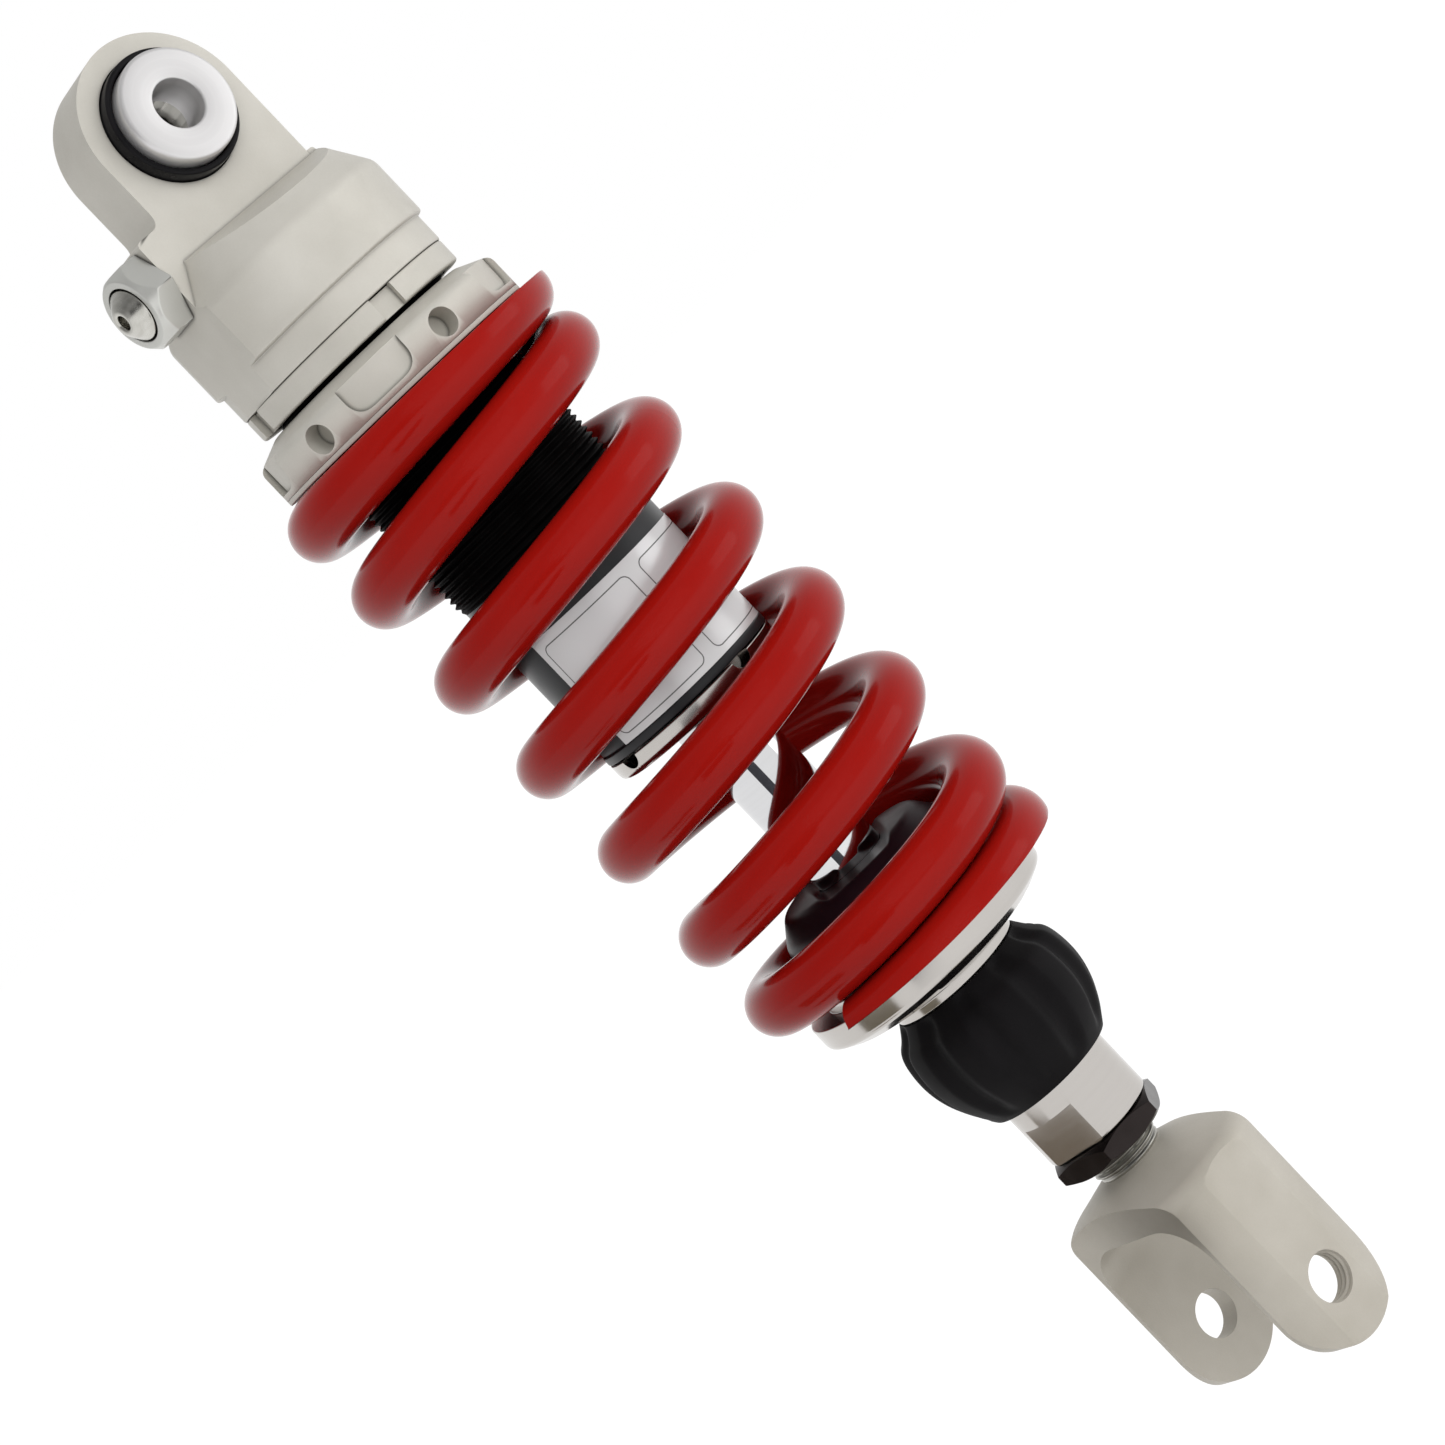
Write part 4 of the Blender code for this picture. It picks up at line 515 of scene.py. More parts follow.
def coated(name, look):
    # paint, plastic or rubber: a slow change of tone, and a skin of small waves
    material, nodes, links = shaderNodes(name)
    vector = objectVector(nodes, links)
    tone = noiseNode(material.node_tree, look["toneScale"], 3.0, 0.5)
    skin = noiseNode(material.node_tree, look["skinScale"], 2.0, 0.5)
    links.new(vector, tone.inputs["Vector"])
    links.new(vector, skin.inputs["Vector"])
    colour = rampNode(nodes, links, tone.outputs["Fac"], noiseSpan, look["colours"])
    rough = rangeNode(nodes, links, tone.outputs["Fac"], noiseSpan, look["roughness"])
    normal = bumpNode(nodes, links, skin.outputs["Fac"], look["bump"], look["skinDepth"])
    shader = dressed(nodes, links, colour, rough, normal)
    shader.inputs["Metallic"].default_value = look.get("metallic", 0.0)
    shader.inputs["Specular IOR Level"].default_value = look.get("specular", 0.5)
    return material


blastedAluminium = blasted("blastedAluminium", {
    "colours": ((0.50, 0.48, 0.43), (0.57, 0.55, 0.50)),
    "metallic": 0.35, "roughness": (0.42, 0.58), "grain": 2600.0, "bump": 0.35,
})
headAluminium = blasted("headAluminium", {
    # painted shade where the head meets its neighbours and in its own hollows
    "colours": ((0.52, 0.50, 0.45), (0.59, 0.57, 0.52)), "hollowShade": (contactShadeGroup, 1.0, 0.65),
    "metallic": 0.35, "roughness": (0.42, 0.58), "grain": 2200.0, "bump": 0.40,
})
valveSteel = blasted("valveSteel", {
    # painted contact shadow round the valve where it meets the head
    "colours": ((0.53, 0.53, 0.50), (0.60, 0.60, 0.57)), "hollowShade": (contactShadeGroup, 1.2, 0.7),
    "metallic": 0.65, "roughness": (0.29, 0.33), "grain": 3000.0, "bump": 0.07,
})
clevisAluminium = blasted("clevisAluminium", {
    # painted shade reaching further into the clevis slot and its hollows
    "colours": ((0.45, 0.42, 0.362), (0.515, 0.485, 0.428)), "hollowShade": (hollowShadeGroup, 2.0, 0.45),
    "metallic": 0.35, "roughness": (0.42, 0.56), "grain": 2400.0, "bump": 0.40,
})
turnedAluminium = turnedMetal("turnedAluminium", {
    "colours": ((0.515, 0.49, 0.465), (0.53, 0.505, 0.48)),
    "metallic": 1.0, "roughness": (0.16, 0.18), "rings": 9000.0, "bump": 0.012,
})
spacerAluminium = turnedMetal("spacerAluminium", {
    "colours": ((0.64, 0.63, 0.63), (0.69, 0.68, 0.68)),
    "metallic": 0.7, "roughness": (0.30, 0.38), "rings": 7000.0, "bump": 0.08,
    "turn": (math.pi / 2, 0.0, 0.0),
})
valveAluminium = turnedMetal("valveAluminium", {
    "colours": ((0.50, 0.49, 0.45), (0.62, 0.61, 0.57)),
    "metallic": 1.0, "roughness": (0.18, 0.30), "rings": 7000.0, "bump": 0.25,
    "turn": (0.0, math.pi / 2, 0.0), "move": (-23.3 * mm, 0.0, 0.0),
})
hardChrome = turnedMetal("hardChrome", {
    "colours": ((0.655, 0.655, 0.665), (0.68, 0.68, 0.69)),
    "metallic": 1.0, "roughness": (0.03, 0.05), "rings": 12000.0, "bump": 0.01,
})
plainSteel = turnedMetal("plainSteel", {
    "colours": ((0.42, 0.41, 0.38), (0.52, 0.51, 0.47)),
    "metallic": 1.0, "roughness": (0.25, 0.40), "rings": 8000.0, "bump": 0.3,
})
bronze = turnedMetal("bronze", {
    "colours": ((0.42, 0.26, 0.10), (0.50, 0.33, 0.14)),
    "metallic": 1.0, "roughness": (0.30, 0.42), "rings": 8000.0, "bump": 0.3,
})
redPowderCoat = coated("redPowderCoat", {
    "colours": ((0.268, 0.0050, 0.0030), (0.282, 0.0060, 0.0036)), "roughness": (0.12, 0.17),
    "toneScale": 40.0, "skinScale": 700.0, "bump": 0.06, "skinDepth": 0.03, "specular": 0.13,
})
threadBlack = coated("threadBlack", {
    "colours": ((0.0020, 0.0018, 0.0018), (0.0035, 0.0032, 0.0032)), "roughness": (0.50, 0.62),
    "toneScale": 200.0, "skinScale": 3000.0, "bump": 0.2, "skinDepth": 0.02, "specular": 0.04,
})
bodyGrey = coated("bodyGrey", {
    "colours": ((0.018, 0.019, 0.021), (0.028, 0.029, 0.031)), "roughness": (0.28, 0.40),
    "toneScale": 120.0, "skinScale": 3000.0, "bump": 0.15, "skinDepth": 0.02, "metallic": 0.3,
    "specular": 0.35,
})
bushRubber = coated("bushRubber", {
    "colours": ((0.0050, 0.0048, 0.0055), (0.0090, 0.0085, 0.0095)), "roughness": (0.24, 0.36),
    "toneScale": 150.0, "skinScale": 1500.0, "bump": 0.2, "skinDepth": 0.04, "specular": 0.10,
})
bumpElastomer = coated("bumpElastomer", {
    "colours": ((0.0110, 0.0042, 0.0065), (0.0180, 0.0075, 0.0110)), "roughness": (0.32, 0.44),
    "toneScale": 90.0, "skinScale": 1800.0, "bump": 0.2, "skinDepth": 0.05, "specular": 0.25,
})
knobPlastic = coated("knobPlastic", {
    "colours": ((0.0042, 0.0037, 0.0042), (0.0072, 0.0065, 0.0072)), "roughness": (0.50, 0.62),
    "toneScale": 120.0, "skinScale": 3500.0, "bump": 0.3, "skinDepth": 0.04, "specular": 0.09,
})
blackOxide = coated("blackOxide", {
    "colours": ((0.026, 0.021, 0.020), (0.034, 0.028, 0.027)), "roughness": (0.20, 0.28),
    "toneScale": 160.0, "skinScale": 2500.0, "bump": 0.1, "skinDepth": 0.02, "metallic": 0.9,
    "specular": 0.3,
})
wearBand = coated("wearBand", {
    "colours": ((0.10, 0.08, 0.06), (0.14, 0.12, 0.10)), "roughness": (0.45, 0.60),
    "toneScale": 200.0, "skinScale": 2500.0, "bump": 0.2, "skinDepth": 0.03,
})
finishes = {
    "bead_blasted_aluminium": blastedAluminium, "turned_aluminium": turnedAluminium,
    "red_powder_coat": redPowderCoat, "black_anodised": bodyGrey, "chrome": hardChrome,
    "steel": plainSteel, "blued_steel": blackOxide, "rubber": bushRubber,
    "elastomer": bumpElastomer, "black_plastic": knobPlastic, "bronze": bronze, "ptfe": wearBand,
}
slotOf = {part["node"]: part["material_slot"] for part in frame["record"]["subparts"]}
for nodeName, cadNode in frame["nodes"].items():
    for materialSlot in cadNode.material_slots:
        materialSlot.material = finishes[slotOf[nodeName]]
bodyOf = {
    member: body
    for body, members in frame["record"]["behaviour"]["bodies"].items()
    for member in members
}
print("finishes made")


def mount(piece, material, body):
    # gives a finished piece its material, its slot and its body
    piece.data.materials.clear()
    piece.data.materials.append(material)
    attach(piece, body)


def place(piece, material, node):
    # mounts a piece as the CAD node that it stands for
    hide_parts(node)
    mount(piece, material, bodyOf[node])


headShape = {
    "eyeRadius": 18.0, "eyeBore": 13.6, "slab": 14.4, "ledge": -22.4, "slope": 15.0,
    "crown": -21.4, "shoulder": 21.5, "coneFall": 9.6, "radius": 27.0, "band": 13.0,
    "skirt": 25.8, "flat": 25.0, "valveDrop": 23.3, "bossRise": 8.8, "bossRound": 3.0,
    "flowRound": 6.0, "gasBore": 16.0, "gasTop": -38.0, "tubeBore": 21.9, "tubeTop": -40.7,
    "valveHole": 5.3, "valveDepth": 14.0, "edge": 0.85,
}


def headSlabOutline(s):
    # side view: round eye, straight sides, concave flow into the boss on the left. The boss
    # stands a hair past the flat, which is cut afterwards.
    bossTop = -s["valveDrop"] + s["bossRise"]
    lower = s["ledge"] - s["coneFall"]
    left, flat, bend = -s["eyeRadius"], -s["flat"], s["bossRound"]
    hair = 0.02
    boss = eased([(flat + bend, bossTop), (flat, bossTop), (flat, bossTop - bend)],
                 bend, closed=False, count=8)[::-1]
    flow = eased([(left, bossTop + s["flowRound"]), (left, bossTop), (left - 5.0, bossTop)],
                 s["flowRound"], closed=False, count=10)[::-1]
    eye = arc(0, 0, s["eyeRadius"], 180, 0, 72)
    outline = np.vstack([eye, [(s["eyeRadius"], lower), (flat - hair, lower)],
                         boss - [hair, 0.0], flow])
    return outline[::-1]


def makeHead(s):
    # a turned body, two sloped ledges cut away beside the slab, then the slab and the bores
    headFoot = foot("head") / mm
    coneFoot = s["ledge"] - s["coneFall"]
    bandFoot = coneFoot - s["band"]
    head = revolved("head", eased([
        (0, s["crown"]), (s["shoulder"] - 0.5, s["crown"]), (s["shoulder"], s["crown"] - 2.0),
        (s["radius"], coneFoot), (s["radius"], bandFoot), (s["skirt"], bandFoot - 0.3),
        (s["skirt"], headFoot), (0, headFoot),
    ], [0, 0.6, 0.8, 1.2, 0.5, 0.25, 0.5, 0], closed=False), 144)
    fall = math.tan(math.radians(s["slope"]))
    inner = s["slab"] / 2 - 0.2
    ledge = np.array([(inner, s["ledge"] + 0.2 * fall), (inner + 40, s["ledge"] - 39.8 * fall),
                      (inner + 40, 20), (inner, 20)])
    combine(head, [prism("ledgeRight", ledge, 120, outward(0)),
                   prism("ledgeLeft", (ledge * [-1, 1])[::-1], 120, outward(0))])
    combine(head, [prism("slab", headSlabOutline(s), s["slab"], outward(-90))], "UNION")
    combine(head, [block("flat", (20, 90, 160), (-s["flat"] - 10, 0, headFoot))])
    combine(head, [
        drill("eyeBore", s["eyeBore"], s["slab"] + 4, aboutAxis("Y"), 96),
        revolved("socket", [
            (0, s["gasTop"]), (s["gasBore"], s["gasTop"]), (s["gasBore"], s["tubeTop"]),
            (s["tubeBore"], s["tubeTop"]), (s["tubeBore"], headFoot - 2), (0, headFoot - 2),
        ], 96),
        revolved("valveHole", [
            (0, -s["valveDepth"]), (s["valveHole"], -s["valveDepth"]),
            (s["valveHole"], -s["flat"] - 2), (0, -s["flat"] - 2),
        ], 48, aboutAxis("X", (0, 0, -s["valveDrop"] * mm))),
    ])
    place(broken(head, s["edge"]), headAluminium, "head")


makeHead(headShape)
print("head made")


valveShape = {"drop": 23.3, "face": 25.04, "length": 6.66, "flats": 16.0, "crownFall": 2.6,
              "shank": 5.0, "shankEnd": 15.0, "plug": 5.5, "plugGap": 0.35, "seatDepth": 3.8,
              "tip": 2.5, "tipRise": 2.8, "tipBore": 1.5}


def makeValve(s):
    # a hexagon crossed with a turned crown, on a round shank, and the coned plug in its face
    seat = aboutAxis("X", (0, 0, -s["drop"] * mm))
    corner = s["flats"] / math.sqrt(3)
    outer = -s["face"] - s["length"]
    hexagon = prism("gasValve", arc(0, 0, corner, 0, 300, 5), s["length"],
                    outward(180, s["face"] + s["length"] / 2, -s["drop"]))
    crown = revolved("crown", [
        (0, -s["face"] + 1), (corner - 0.3, -s["face"] + 1), (corner, -s["face"] - 0.9),
        (corner, outer + s["crownFall"]), (s["flats"] / 2 - 0.6, outer), (0, outer),
    ], 96, seat)
    combine(hexagon, [crown], "INTERSECT")
    shank = revolved("shank", [
        (0, -s["shankEnd"]), (s["shank"], -s["shankEnd"]), (s["shank"], -s["face"] - 1),
        (0, -s["face"] - 1),
    ], 48, seat)
    combine(hexagon, [shank], "UNION")
    seatRadius, seatEnd = s["plug"] + s["plugGap"], outer + s["seatDepth"]
    combine(hexagon, [revolved("plugSeat", [
        (0, seatEnd), (seatRadius, seatEnd), (seatRadius, outer - 2), (0, outer - 2),
    ], 64, seat)])
    place(broken(hexagon, 0.45), valveSteel, "gas_valve_body")
    tip = outer - s["tipRise"]
    plug = revolved("valvePlug", eased([
        (0, outer + 3.5), (s["plug"], outer + 3.5), (s["plug"], outer - 0.1),
        (s["tip"] + 0.9, tip + 0.6), (s["tip"], tip), (s["tipBore"] + 0.25, tip),
        (s["tipBore"], tip + 0.4), (s["tipBore"], outer + 0.6), (0, outer + 1.1),
    ], 0.3, closed=False), 64, seat)
    place(plug, valveAluminium, "gas_valve_plug")


makeValve(valveShape)


bushShape = {"rubberIn": 9.3, "rubberOut": 13.35, "rubberHalf": 6.8, "lip": 3.5, "lipIn": 12.1,
             "spacer": 11.8, "reach": 13.5, "shoulder": 8.1, "spigot": 6.5, "bore": 5.15,
             "spigotEnd": 3.8}


def makeBush(s):
    # the rubber's profile is mirrored about the eye's middle, and so is the rear spacer
    half = s["rubberHalf"]
    side = np.array([
        (s["rubberIn"], half), (s["lipIn"], half), (s["lipIn"], half + s["lip"]),
        (s["rubberOut"], half + s["lip"]), (s["rubberOut"] + 0.02, half - 0.6),
    ])
    line = np.vstack([side, (side * [1, -1])[::-1]])
    ease = [0.3, 0.8, 0.4, 0.5, 0.4]
    rubber = revolved("rubberBush", eased(line, ease + ease[::-1]), 128, aboutAxis("Y"), 60)
    place(rubber, bushRubber, "eye_rubber_bush")
    line = eased([
        (s["bore"], s["reach"]), (s["spacer"], s["reach"]), (s["spacer"], s["shoulder"]),
        (s["spigot"], s["shoulder"]), (s["spigot"], s["spigotEnd"]), (s["bore"], s["spigotEnd"]),
    ], [0.5, 0.9, 0.3, 0.2, 0.2, 0.2])
    front = revolved("spacerFront", (line * [1, -1])[::-1], 128, aboutAxis("Y"))
    rear = revolved("spacerRear", line, 128, aboutAxis("Y"))
    place(front, spacerAluminium, "eye_spacer_front")
    place(rear, spacerAluminium, "eye_spacer_rear")


makeBush(bushShape)
print("valve and bush made")


tubeShape = {"bore": 18.0, "plain": 20.7, "lip": 20.95, "crest": 21.55, "root": 20.75,
             "pitch": 1.5, "perPitch": 8, "steps": 120, "threadEnd": -107.2}


def threadGrid(s, high, low):
    # radius follows a rounded saw-tooth of (z / pitch - angle / turn), fading out at both ends
    count = int(round((high - low) / s["pitch"] * s["perPitch"])) + 1
    z = np.linspace(high, low, count)[:, None]
    angle = fullTurn(s["steps"])
    phase = (z / s["pitch"] - angle / (2 * math.pi)) % 1.0
    crest = np.clip(1.35 * (1.0 - np.abs(2.0 * phase - 1.0)) - 0.15, 0.0, 1.0)
    fade = np.clip(np.minimum(high - z, z - low) / s["pitch"], 0.0, 1.0)
    radius = s["root"] + (s["crest"] - s["root"]) * crest * fade
    return swept(radius, angle, z) * mm


def makeTube(s):
    # a threaded sleeve above, and a plain turned one with a small lip below
    tubeTop, tubeFoot = span("damper_tube")
    end, angle = s["threadEnd"], fullTurn(s["steps"])
    upper = turnedRows([(s["bore"], tubeTop), (s["root"] - 0.3, tubeTop)], angle) * mm
    threads = threadGrid(s, tubeTop - 0.3, end)
    stop = turnedRows([(s["bore"], end - 0.02)], angle) * mm
    thread = gridSolid("tubeThread", np.concatenate([upper, threads, stop]), sharpAngle=60)
    place(thread, threadBlack, "damper_tube")
    plain = revolved("tubeBody", eased([
        (s["bore"], end - 0.05), (s["root"], end - 0.05), (s["plain"], end - 0.6),
        (s["plain"], tubeFoot + 2.1), (s["lip"], tubeFoot + 1.8), (s["lip"], tubeFoot),
        (s["bore"], tubeFoot),
    ], 0.25), 144)
    place(plain, bodyGrey, "damper_tube")


makeTube(tubeShape)


labelShape = {"radius": 20.82, "inset": 20.72, "start": -171.5, "sweep": 150.0, "high": -119.4,
              "low": -146.5, "columns": 90, "rows": 24, "panels": (0.24, 0.72),
              "panelWidth": 0.42, "margin": 2.2, "corner": 1.6, "line": 0.13,
              "colours": ((0.75, 0.76, 0.765), (0.16, 0.16, 0.16)), "roughness": (0.20, 0.26),
              "metallic": 0.25}


def makeLabel(s):
    # a thin curved plate: angle and height run over its face, and a second skin closes it.
    # The panels' middles and width are shares of its length.
    across, up = s["columns"], s["rows"]
    u = np.linspace(0, 1, across)[None]
    v = np.linspace(0, 1, up)[:, None]
    angle = np.radians(s["start"] + s["sweep"] * u + 0 * v)
    height = s["high"] + (s["low"] - s["high"]) * v + 0 * u
    skins = [swept(s[radius], angle, height).reshape(-1, 3) for radius in ("radius", "inset")]
    front = np.array(gridFaces(up, across, closedColumns=False))
    back = front[:, ::-1] + up * across
    index = np.arange(up * across).reshape(up, across)
    rim = np.concatenate([index[0, :-1], index[:-1, -1], index[-1, :0:-1], index[:0:-1, 0]])
    ahead = np.roll(rim, -1)
    sides = np.stack([rim, ahead, ahead + up * across, rim + up * across], -1)
    label = meshObject("labelPlate", np.vstack(skins) * mm,
                       front.tolist() + back.tolist() + sides.tolist(), 60)
    layer = label.data.uv_layers.new(name="labelMap")
    loops = np.empty(len(label.data.loops), int)
    label.data.loops.foreach_get("vertex_index", loops)
    uGrid = np.tile((u + 0 * v).ravel(), 2)
    vGrid = np.tile((1 - v + 0 * u).ravel(), 2)
    length = math.radians(s["sweep"]) * s["radius"]
    tall = s["high"] - s["low"]
    layer.data.foreach_set("uv", np.column_stack([uGrid * length, vGrid * tall])[loops].ravel())
    mount(label, labelFilm(s, length, tall), "damper")


def makePanelGroup():
    # a thin line round a box with rounded corners, from its distance field
    group, entry, leave = newGroup(
        "panelLine",
        [("Vector", "NodeSocketVector", None), ("Centre", "NodeSocketVector", None),
         ("Half", "NodeSocketVector", None), ("Corner", "NodeSocketFloat", 1.0),
         ("Line", "NodeSocketFloat", 0.12)],
        [("Mask", "NodeSocketFloat")],
    )

    def vectorNode(operation, a, b):
        node = group.nodes.new("ShaderNodeVectorMath")
        node.operation = operation
        group.links.new(a, node.inputs[0])
        if b is not None:
            group.links.new(b, node.inputs[1])
        return node

    offset = vectorNode("SUBTRACT", entry.outputs["Vector"], entry.outputs["Centre"])
    folded = vectorNode("ABSOLUTE", offset.outputs[0], None)
    beyond = vectorNode("SUBTRACT", folded.outputs[0], entry.outputs["Half"])
    parts = group.nodes.new("ShaderNodeSeparateXYZ")
    group.links.new(beyond.outputs[0], parts.inputs[0])
    x = mathNode(group, "ADD", parts.outputs["X"], entry.outputs["Corner"])
    y = mathNode(group, "ADD", parts.outputs["Y"], entry.outputs["Corner"])
    outX = mathNode(group, "MAXIMUM", x, 0.0)
    outY = mathNode(group, "MAXIMUM", y, 0.0)
    squares = mathNode(group, "ADD", mathNode(group, "MULTIPLY", outX, outX),
                       mathNode(group, "MULTIPLY", outY, outY))
    inside = mathNode(group, "MINIMUM", mathNode(group, "MAXIMUM", x, y), 0.0)
    distance = mathNode(group, "ADD", mathNode(group, "SQRT", squares), inside)
    edge = mathNode(group, "ABSOLUTE", mathNode(group, "SUBTRACT", distance,
                                                entry.outputs["Corner"]))
    mask = mathNode(group, "LESS_THAN", edge, entry.outputs["Line"])
    group.links.new(mask, leave.inputs["Mask"])
    return group


def labelFilm(s, length, tall):
    # silver film with thin-lined panels and nothing printed in them
    material, nodes, links = shaderNodes("labelFilm")
    tree = material.node_tree
    panelGroup = makePanelGroup()
    uvMap = nodes.new("ShaderNodeUVMap")
    uvMap.uv_map = "labelMap"
    half = (length * s["panelWidth"] / 2, tall * 0.5 - s["margin"], 0.0)
    lines = None
    for share in s["panels"]:
        panel = groupNode(nodes, panelGroup, Centre=(length * share, tall / 2, 0.0), Half=half,
                          Corner=s["corner"], Line=s["line"])
        links.new(uvMap.outputs["UV"], panel.inputs["Vector"])
        mask = panel.outputs["Mask"]
        lines = mask if lines is None else mathNode(tree, "MAXIMUM", lines, mask)
    shader = nodes["Principled BSDF"]
    colour = rampNode(nodes, links, lines, (0.0, 1.0), s["colours"])
    links.new(colour, shader.inputs["Base Color"])
    film = noiseNode(tree, 60.0, 2.0, 0.5)
    links.new(objectVector(nodes, links), film.inputs["Vector"])
    rough = rangeNode(nodes, links, film.outputs["Fac"], noiseSpan, s["roughness"])
    links.new(rough, shader.inputs["Roughness"])
    shader.inputs["Metallic"].default_value = s["metallic"]
    return material


makeLabel(labelShape)
print("tube and label made")


sealShape = {"radius": 20.9, "spigot": 17.7, "bore": 12.0, "flange": 3.9, "notch": 2.5,
             "notchStart": -88.5, "notchReach": 2.4}
wiperShape = {"bore": 8.15, "radius": 11.7, "neck": 9.5, "tip": 8.6, "tipHeight": 1.2}


def makeSealHead(s):
    # a turned flange with four round notches in its rim
    high, low = span("seal_head")
    flangeTop = low + s["flange"]
    seal = revolved("sealHead", eased([
        (s["bore"], high), (s["spigot"], high), (s["spigot"], flangeTop), (s["radius"], flangeTop),
        (s["radius"], low), (s["bore"], low),
    ], [0.3, 0.3, 0.2, 0.35, 1.5, 0.4]), 144)
    combine(seal, [drill(f"notch{k}", s["notch"], 6,
                         outward(angle, s["spigot"] + s["notchReach"], flangeTop), 40)
                   for k, angle in enumerate(spacedRound(s["notchStart"]))])
    place(broken(seal, 0.18, 2), turnedAluminium, "seal_head")


def makeWiper(s):
    # a rubber ring whose lip narrows towards the rod
    high, low = span("dust_wiper")
    wiper = revolved("dustWiper", eased([
        (s["bore"], high), (s["radius"], high), (s["radius"], low + s["tipHeight"]),
        (s["neck"], low + s["tipHeight"] - 0.1), (s["tip"], low), (s["bore"], low),
    ], 0.3), 96)
    place(wiper, bushRubber, "dust_wiper")


makeSealHead(sealShape)
makeWiper(wiperShape)


springShape = {"outer": 72.0, "wire": 12.3, "turns": 7.6, "closed": 1.25, "closedPitch": 12.6,
               "tip": 3.75, "footAngle": -161.5, "perTurn": 150, "round": 56, "seam": 5.30,
               "ease": 0.16}


def springPath(s, length):
    # centre line: angle grows with the turn; the rise per turn eases from just over one wire
    # at the closed ends to the active pitch, and its sum fills the whole length
    turn = np.linspace(0, s["turns"], int(s["turns"] * s["perTurn"]) + 1)
    fromEnd = np.minimum(turn, s["turns"] - turn)
    active = smooth((fromEnd - s["closed"]) / s["ease"] + 0.5)
    step = turn[1] - turn[0]
    share = np.concatenate([[0], np.cumsum((active[1:] + active[:-1]) / 2) * step])
    tipHeight = s["tip"] - s["wire"] / 2
    climb = length - 2 * tipHeight - s["turns"] * s["closedPitch"]
    height = tipHeight + s["closedPitch"] * turn + share * climb / share[-1]
    weight = 1 - np.clip(share / share[-1], 0, 1)
    return turn, height, weight


def wireGrid(s, turn, height, base, ceiling):
    # a circle carried along the path, in the plane of the outward radius and the path's own
    # normal; what lies beyond either ground face is pressed flat onto it
    radius = (s["outer"] - s["wire"]) / 2
    angle = np.radians(s["footAngle"]) + 2 * math.pi * turn
    radial = np.stack([np.cos(angle), np.sin(angle), 0 * angle], -1)
    centre = radial * radius
    centre[:, 2] = base + height
    tangent = np.gradient(centre, axis=0)
    tangent /= np.linalg.norm(tangent, axis=1, keepdims=True)
    normal = np.cross(radial, tangent)
    around = np.linspace(0, 2 * math.pi, s["round"], endpoint=False)
    circle = (radial[:, None] * np.cos(around)[None, :, None]
              - normal[:, None] * np.sin(around)[None, :, None])
    grid = centre[:, None] + circle * s["wire"] / 2
    grid[..., 2] = np.clip(grid[..., 2], base, ceiling)
    return grid * mm


def makeSpring(s):
    # two lengths of one coil that meet at a ring; the bodies listed for each, rod and tube below and
    # tube and washer above, are not used. Each ring's weight is its share of the active turns.
    ceiling, base = span("spring")
    turn, height, weight = springPath(s, ceiling - base)
    grid = wireGrid(s, turn, height, base, ceiling)
    seam = int(np.searchsorted(turn, s["seam"]))
    parts = (
        ("springMain", slice(0, seam + 1), "damper", "rod", weight[seam], 1.0),
        ("springTop", slice(seam, len(turn)), "washer", "damper", 0.0, weight[seam]),
    )
    for name, rows, bodyA, bodyB, low, high in parts:
        coil = gridSolid(name, grid[rows], closedRows=False, sharpAngle=50)
        coil.data.materials.append(redPowderCoat)
        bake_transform(coil)
        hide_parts("spring")


makeSpring(springShape)
print("spring made")


collarShape = {"radius": 30.5, "bore": 21.9, "crown": 24.0, "crownFall": 2.6, "pockets": 5,
               "pocketAngle": -126.0, "pocketWidth": 15.6, "pocketDepth": 1.4, "pocketFoot": 1.2,
               "pocketEase": 4.2, "holes": (31.5, 105.0, 180.0, 255.0, 328.5), "hole": 3.0,
               "holeDrop": 6.5, "holeDepth": 5.2}


def makeCollar(s):
    # a turned ring with a coned crown, round-bottomed pockets and spanner holes cut into it
    high, low = top("preload_collar") / mm, top("spring_washer") / mm + 0.06
    collar = revolved("preloadCollar", eased([
        (s["bore"], high), (s["crown"], high), (s["radius"], high - s["crownFall"] - 0.2),
        (s["radius"], low - 0.6), (s["bore"], low - 0.6),
    ], [0.2, 0.5, 1.4, 0, 0.2], count=7), 180)
    half = s["pocketWidth"] / 2
    pocketFoot = low - high + s["pocketFoot"]
    outline = np.vstack([
        eased([(-half, 0), (-half, pocketFoot), (half, pocketFoot), (half, 0)],
              [0, s["pocketEase"], s["pocketEase"], 0], closed=False, count=9),
        [(half, 3), (-half, 3)],
    ])
    tools = []
    floorRadius = s["radius"] - s["pocketDepth"]
    for k, angle in enumerate(spacedRound(s["pocketAngle"], s["pockets"])):
        pocket = prism(f"pocket{k}", outline, 12, outward(angle, s["radius"], high))
        tools.append(combine(pocket, [revolved("pocketFloor", [
            (0, high + 4), (floorRadius, high + 4), (floorRadius, low - 4), (0, low - 4),
        ], 240)]))
    for k, angle in enumerate(s["holes"]):
        matrix = outward(s["pocketAngle"] + angle, s["radius"] - s["holeDepth"] + 5,
                         high - s["holeDrop"])
        tools.append(drill(f"spannerHole{k}", s["hole"], 10, matrix, 48))
    broken(combine(collar, tools), 0.28)
    # the foot was made too long so that its edge stays unbroken; it is pressed flat here
    points = np.empty(len(collar.data.vertices) * 3, np.float32)
    collar.data.vertices.foreach_get("co", points)
    points[2::3] = np.maximum(points[2::3], low * mm)
    collar.data.vertices.foreach_set("co", points)
    place(collar, blastedAluminium, "preload_collar")


ringShape = {"radius": 25.6, "bore": 21.9, "rim": 1.5, "rimRise": 0.65, "slots": 4,
             "slotWidth": 5.6, "slotDepth": 1.8, "slotAngle": -100.5}
washerShape = {"radius": 30.5, "bore": 21.9}


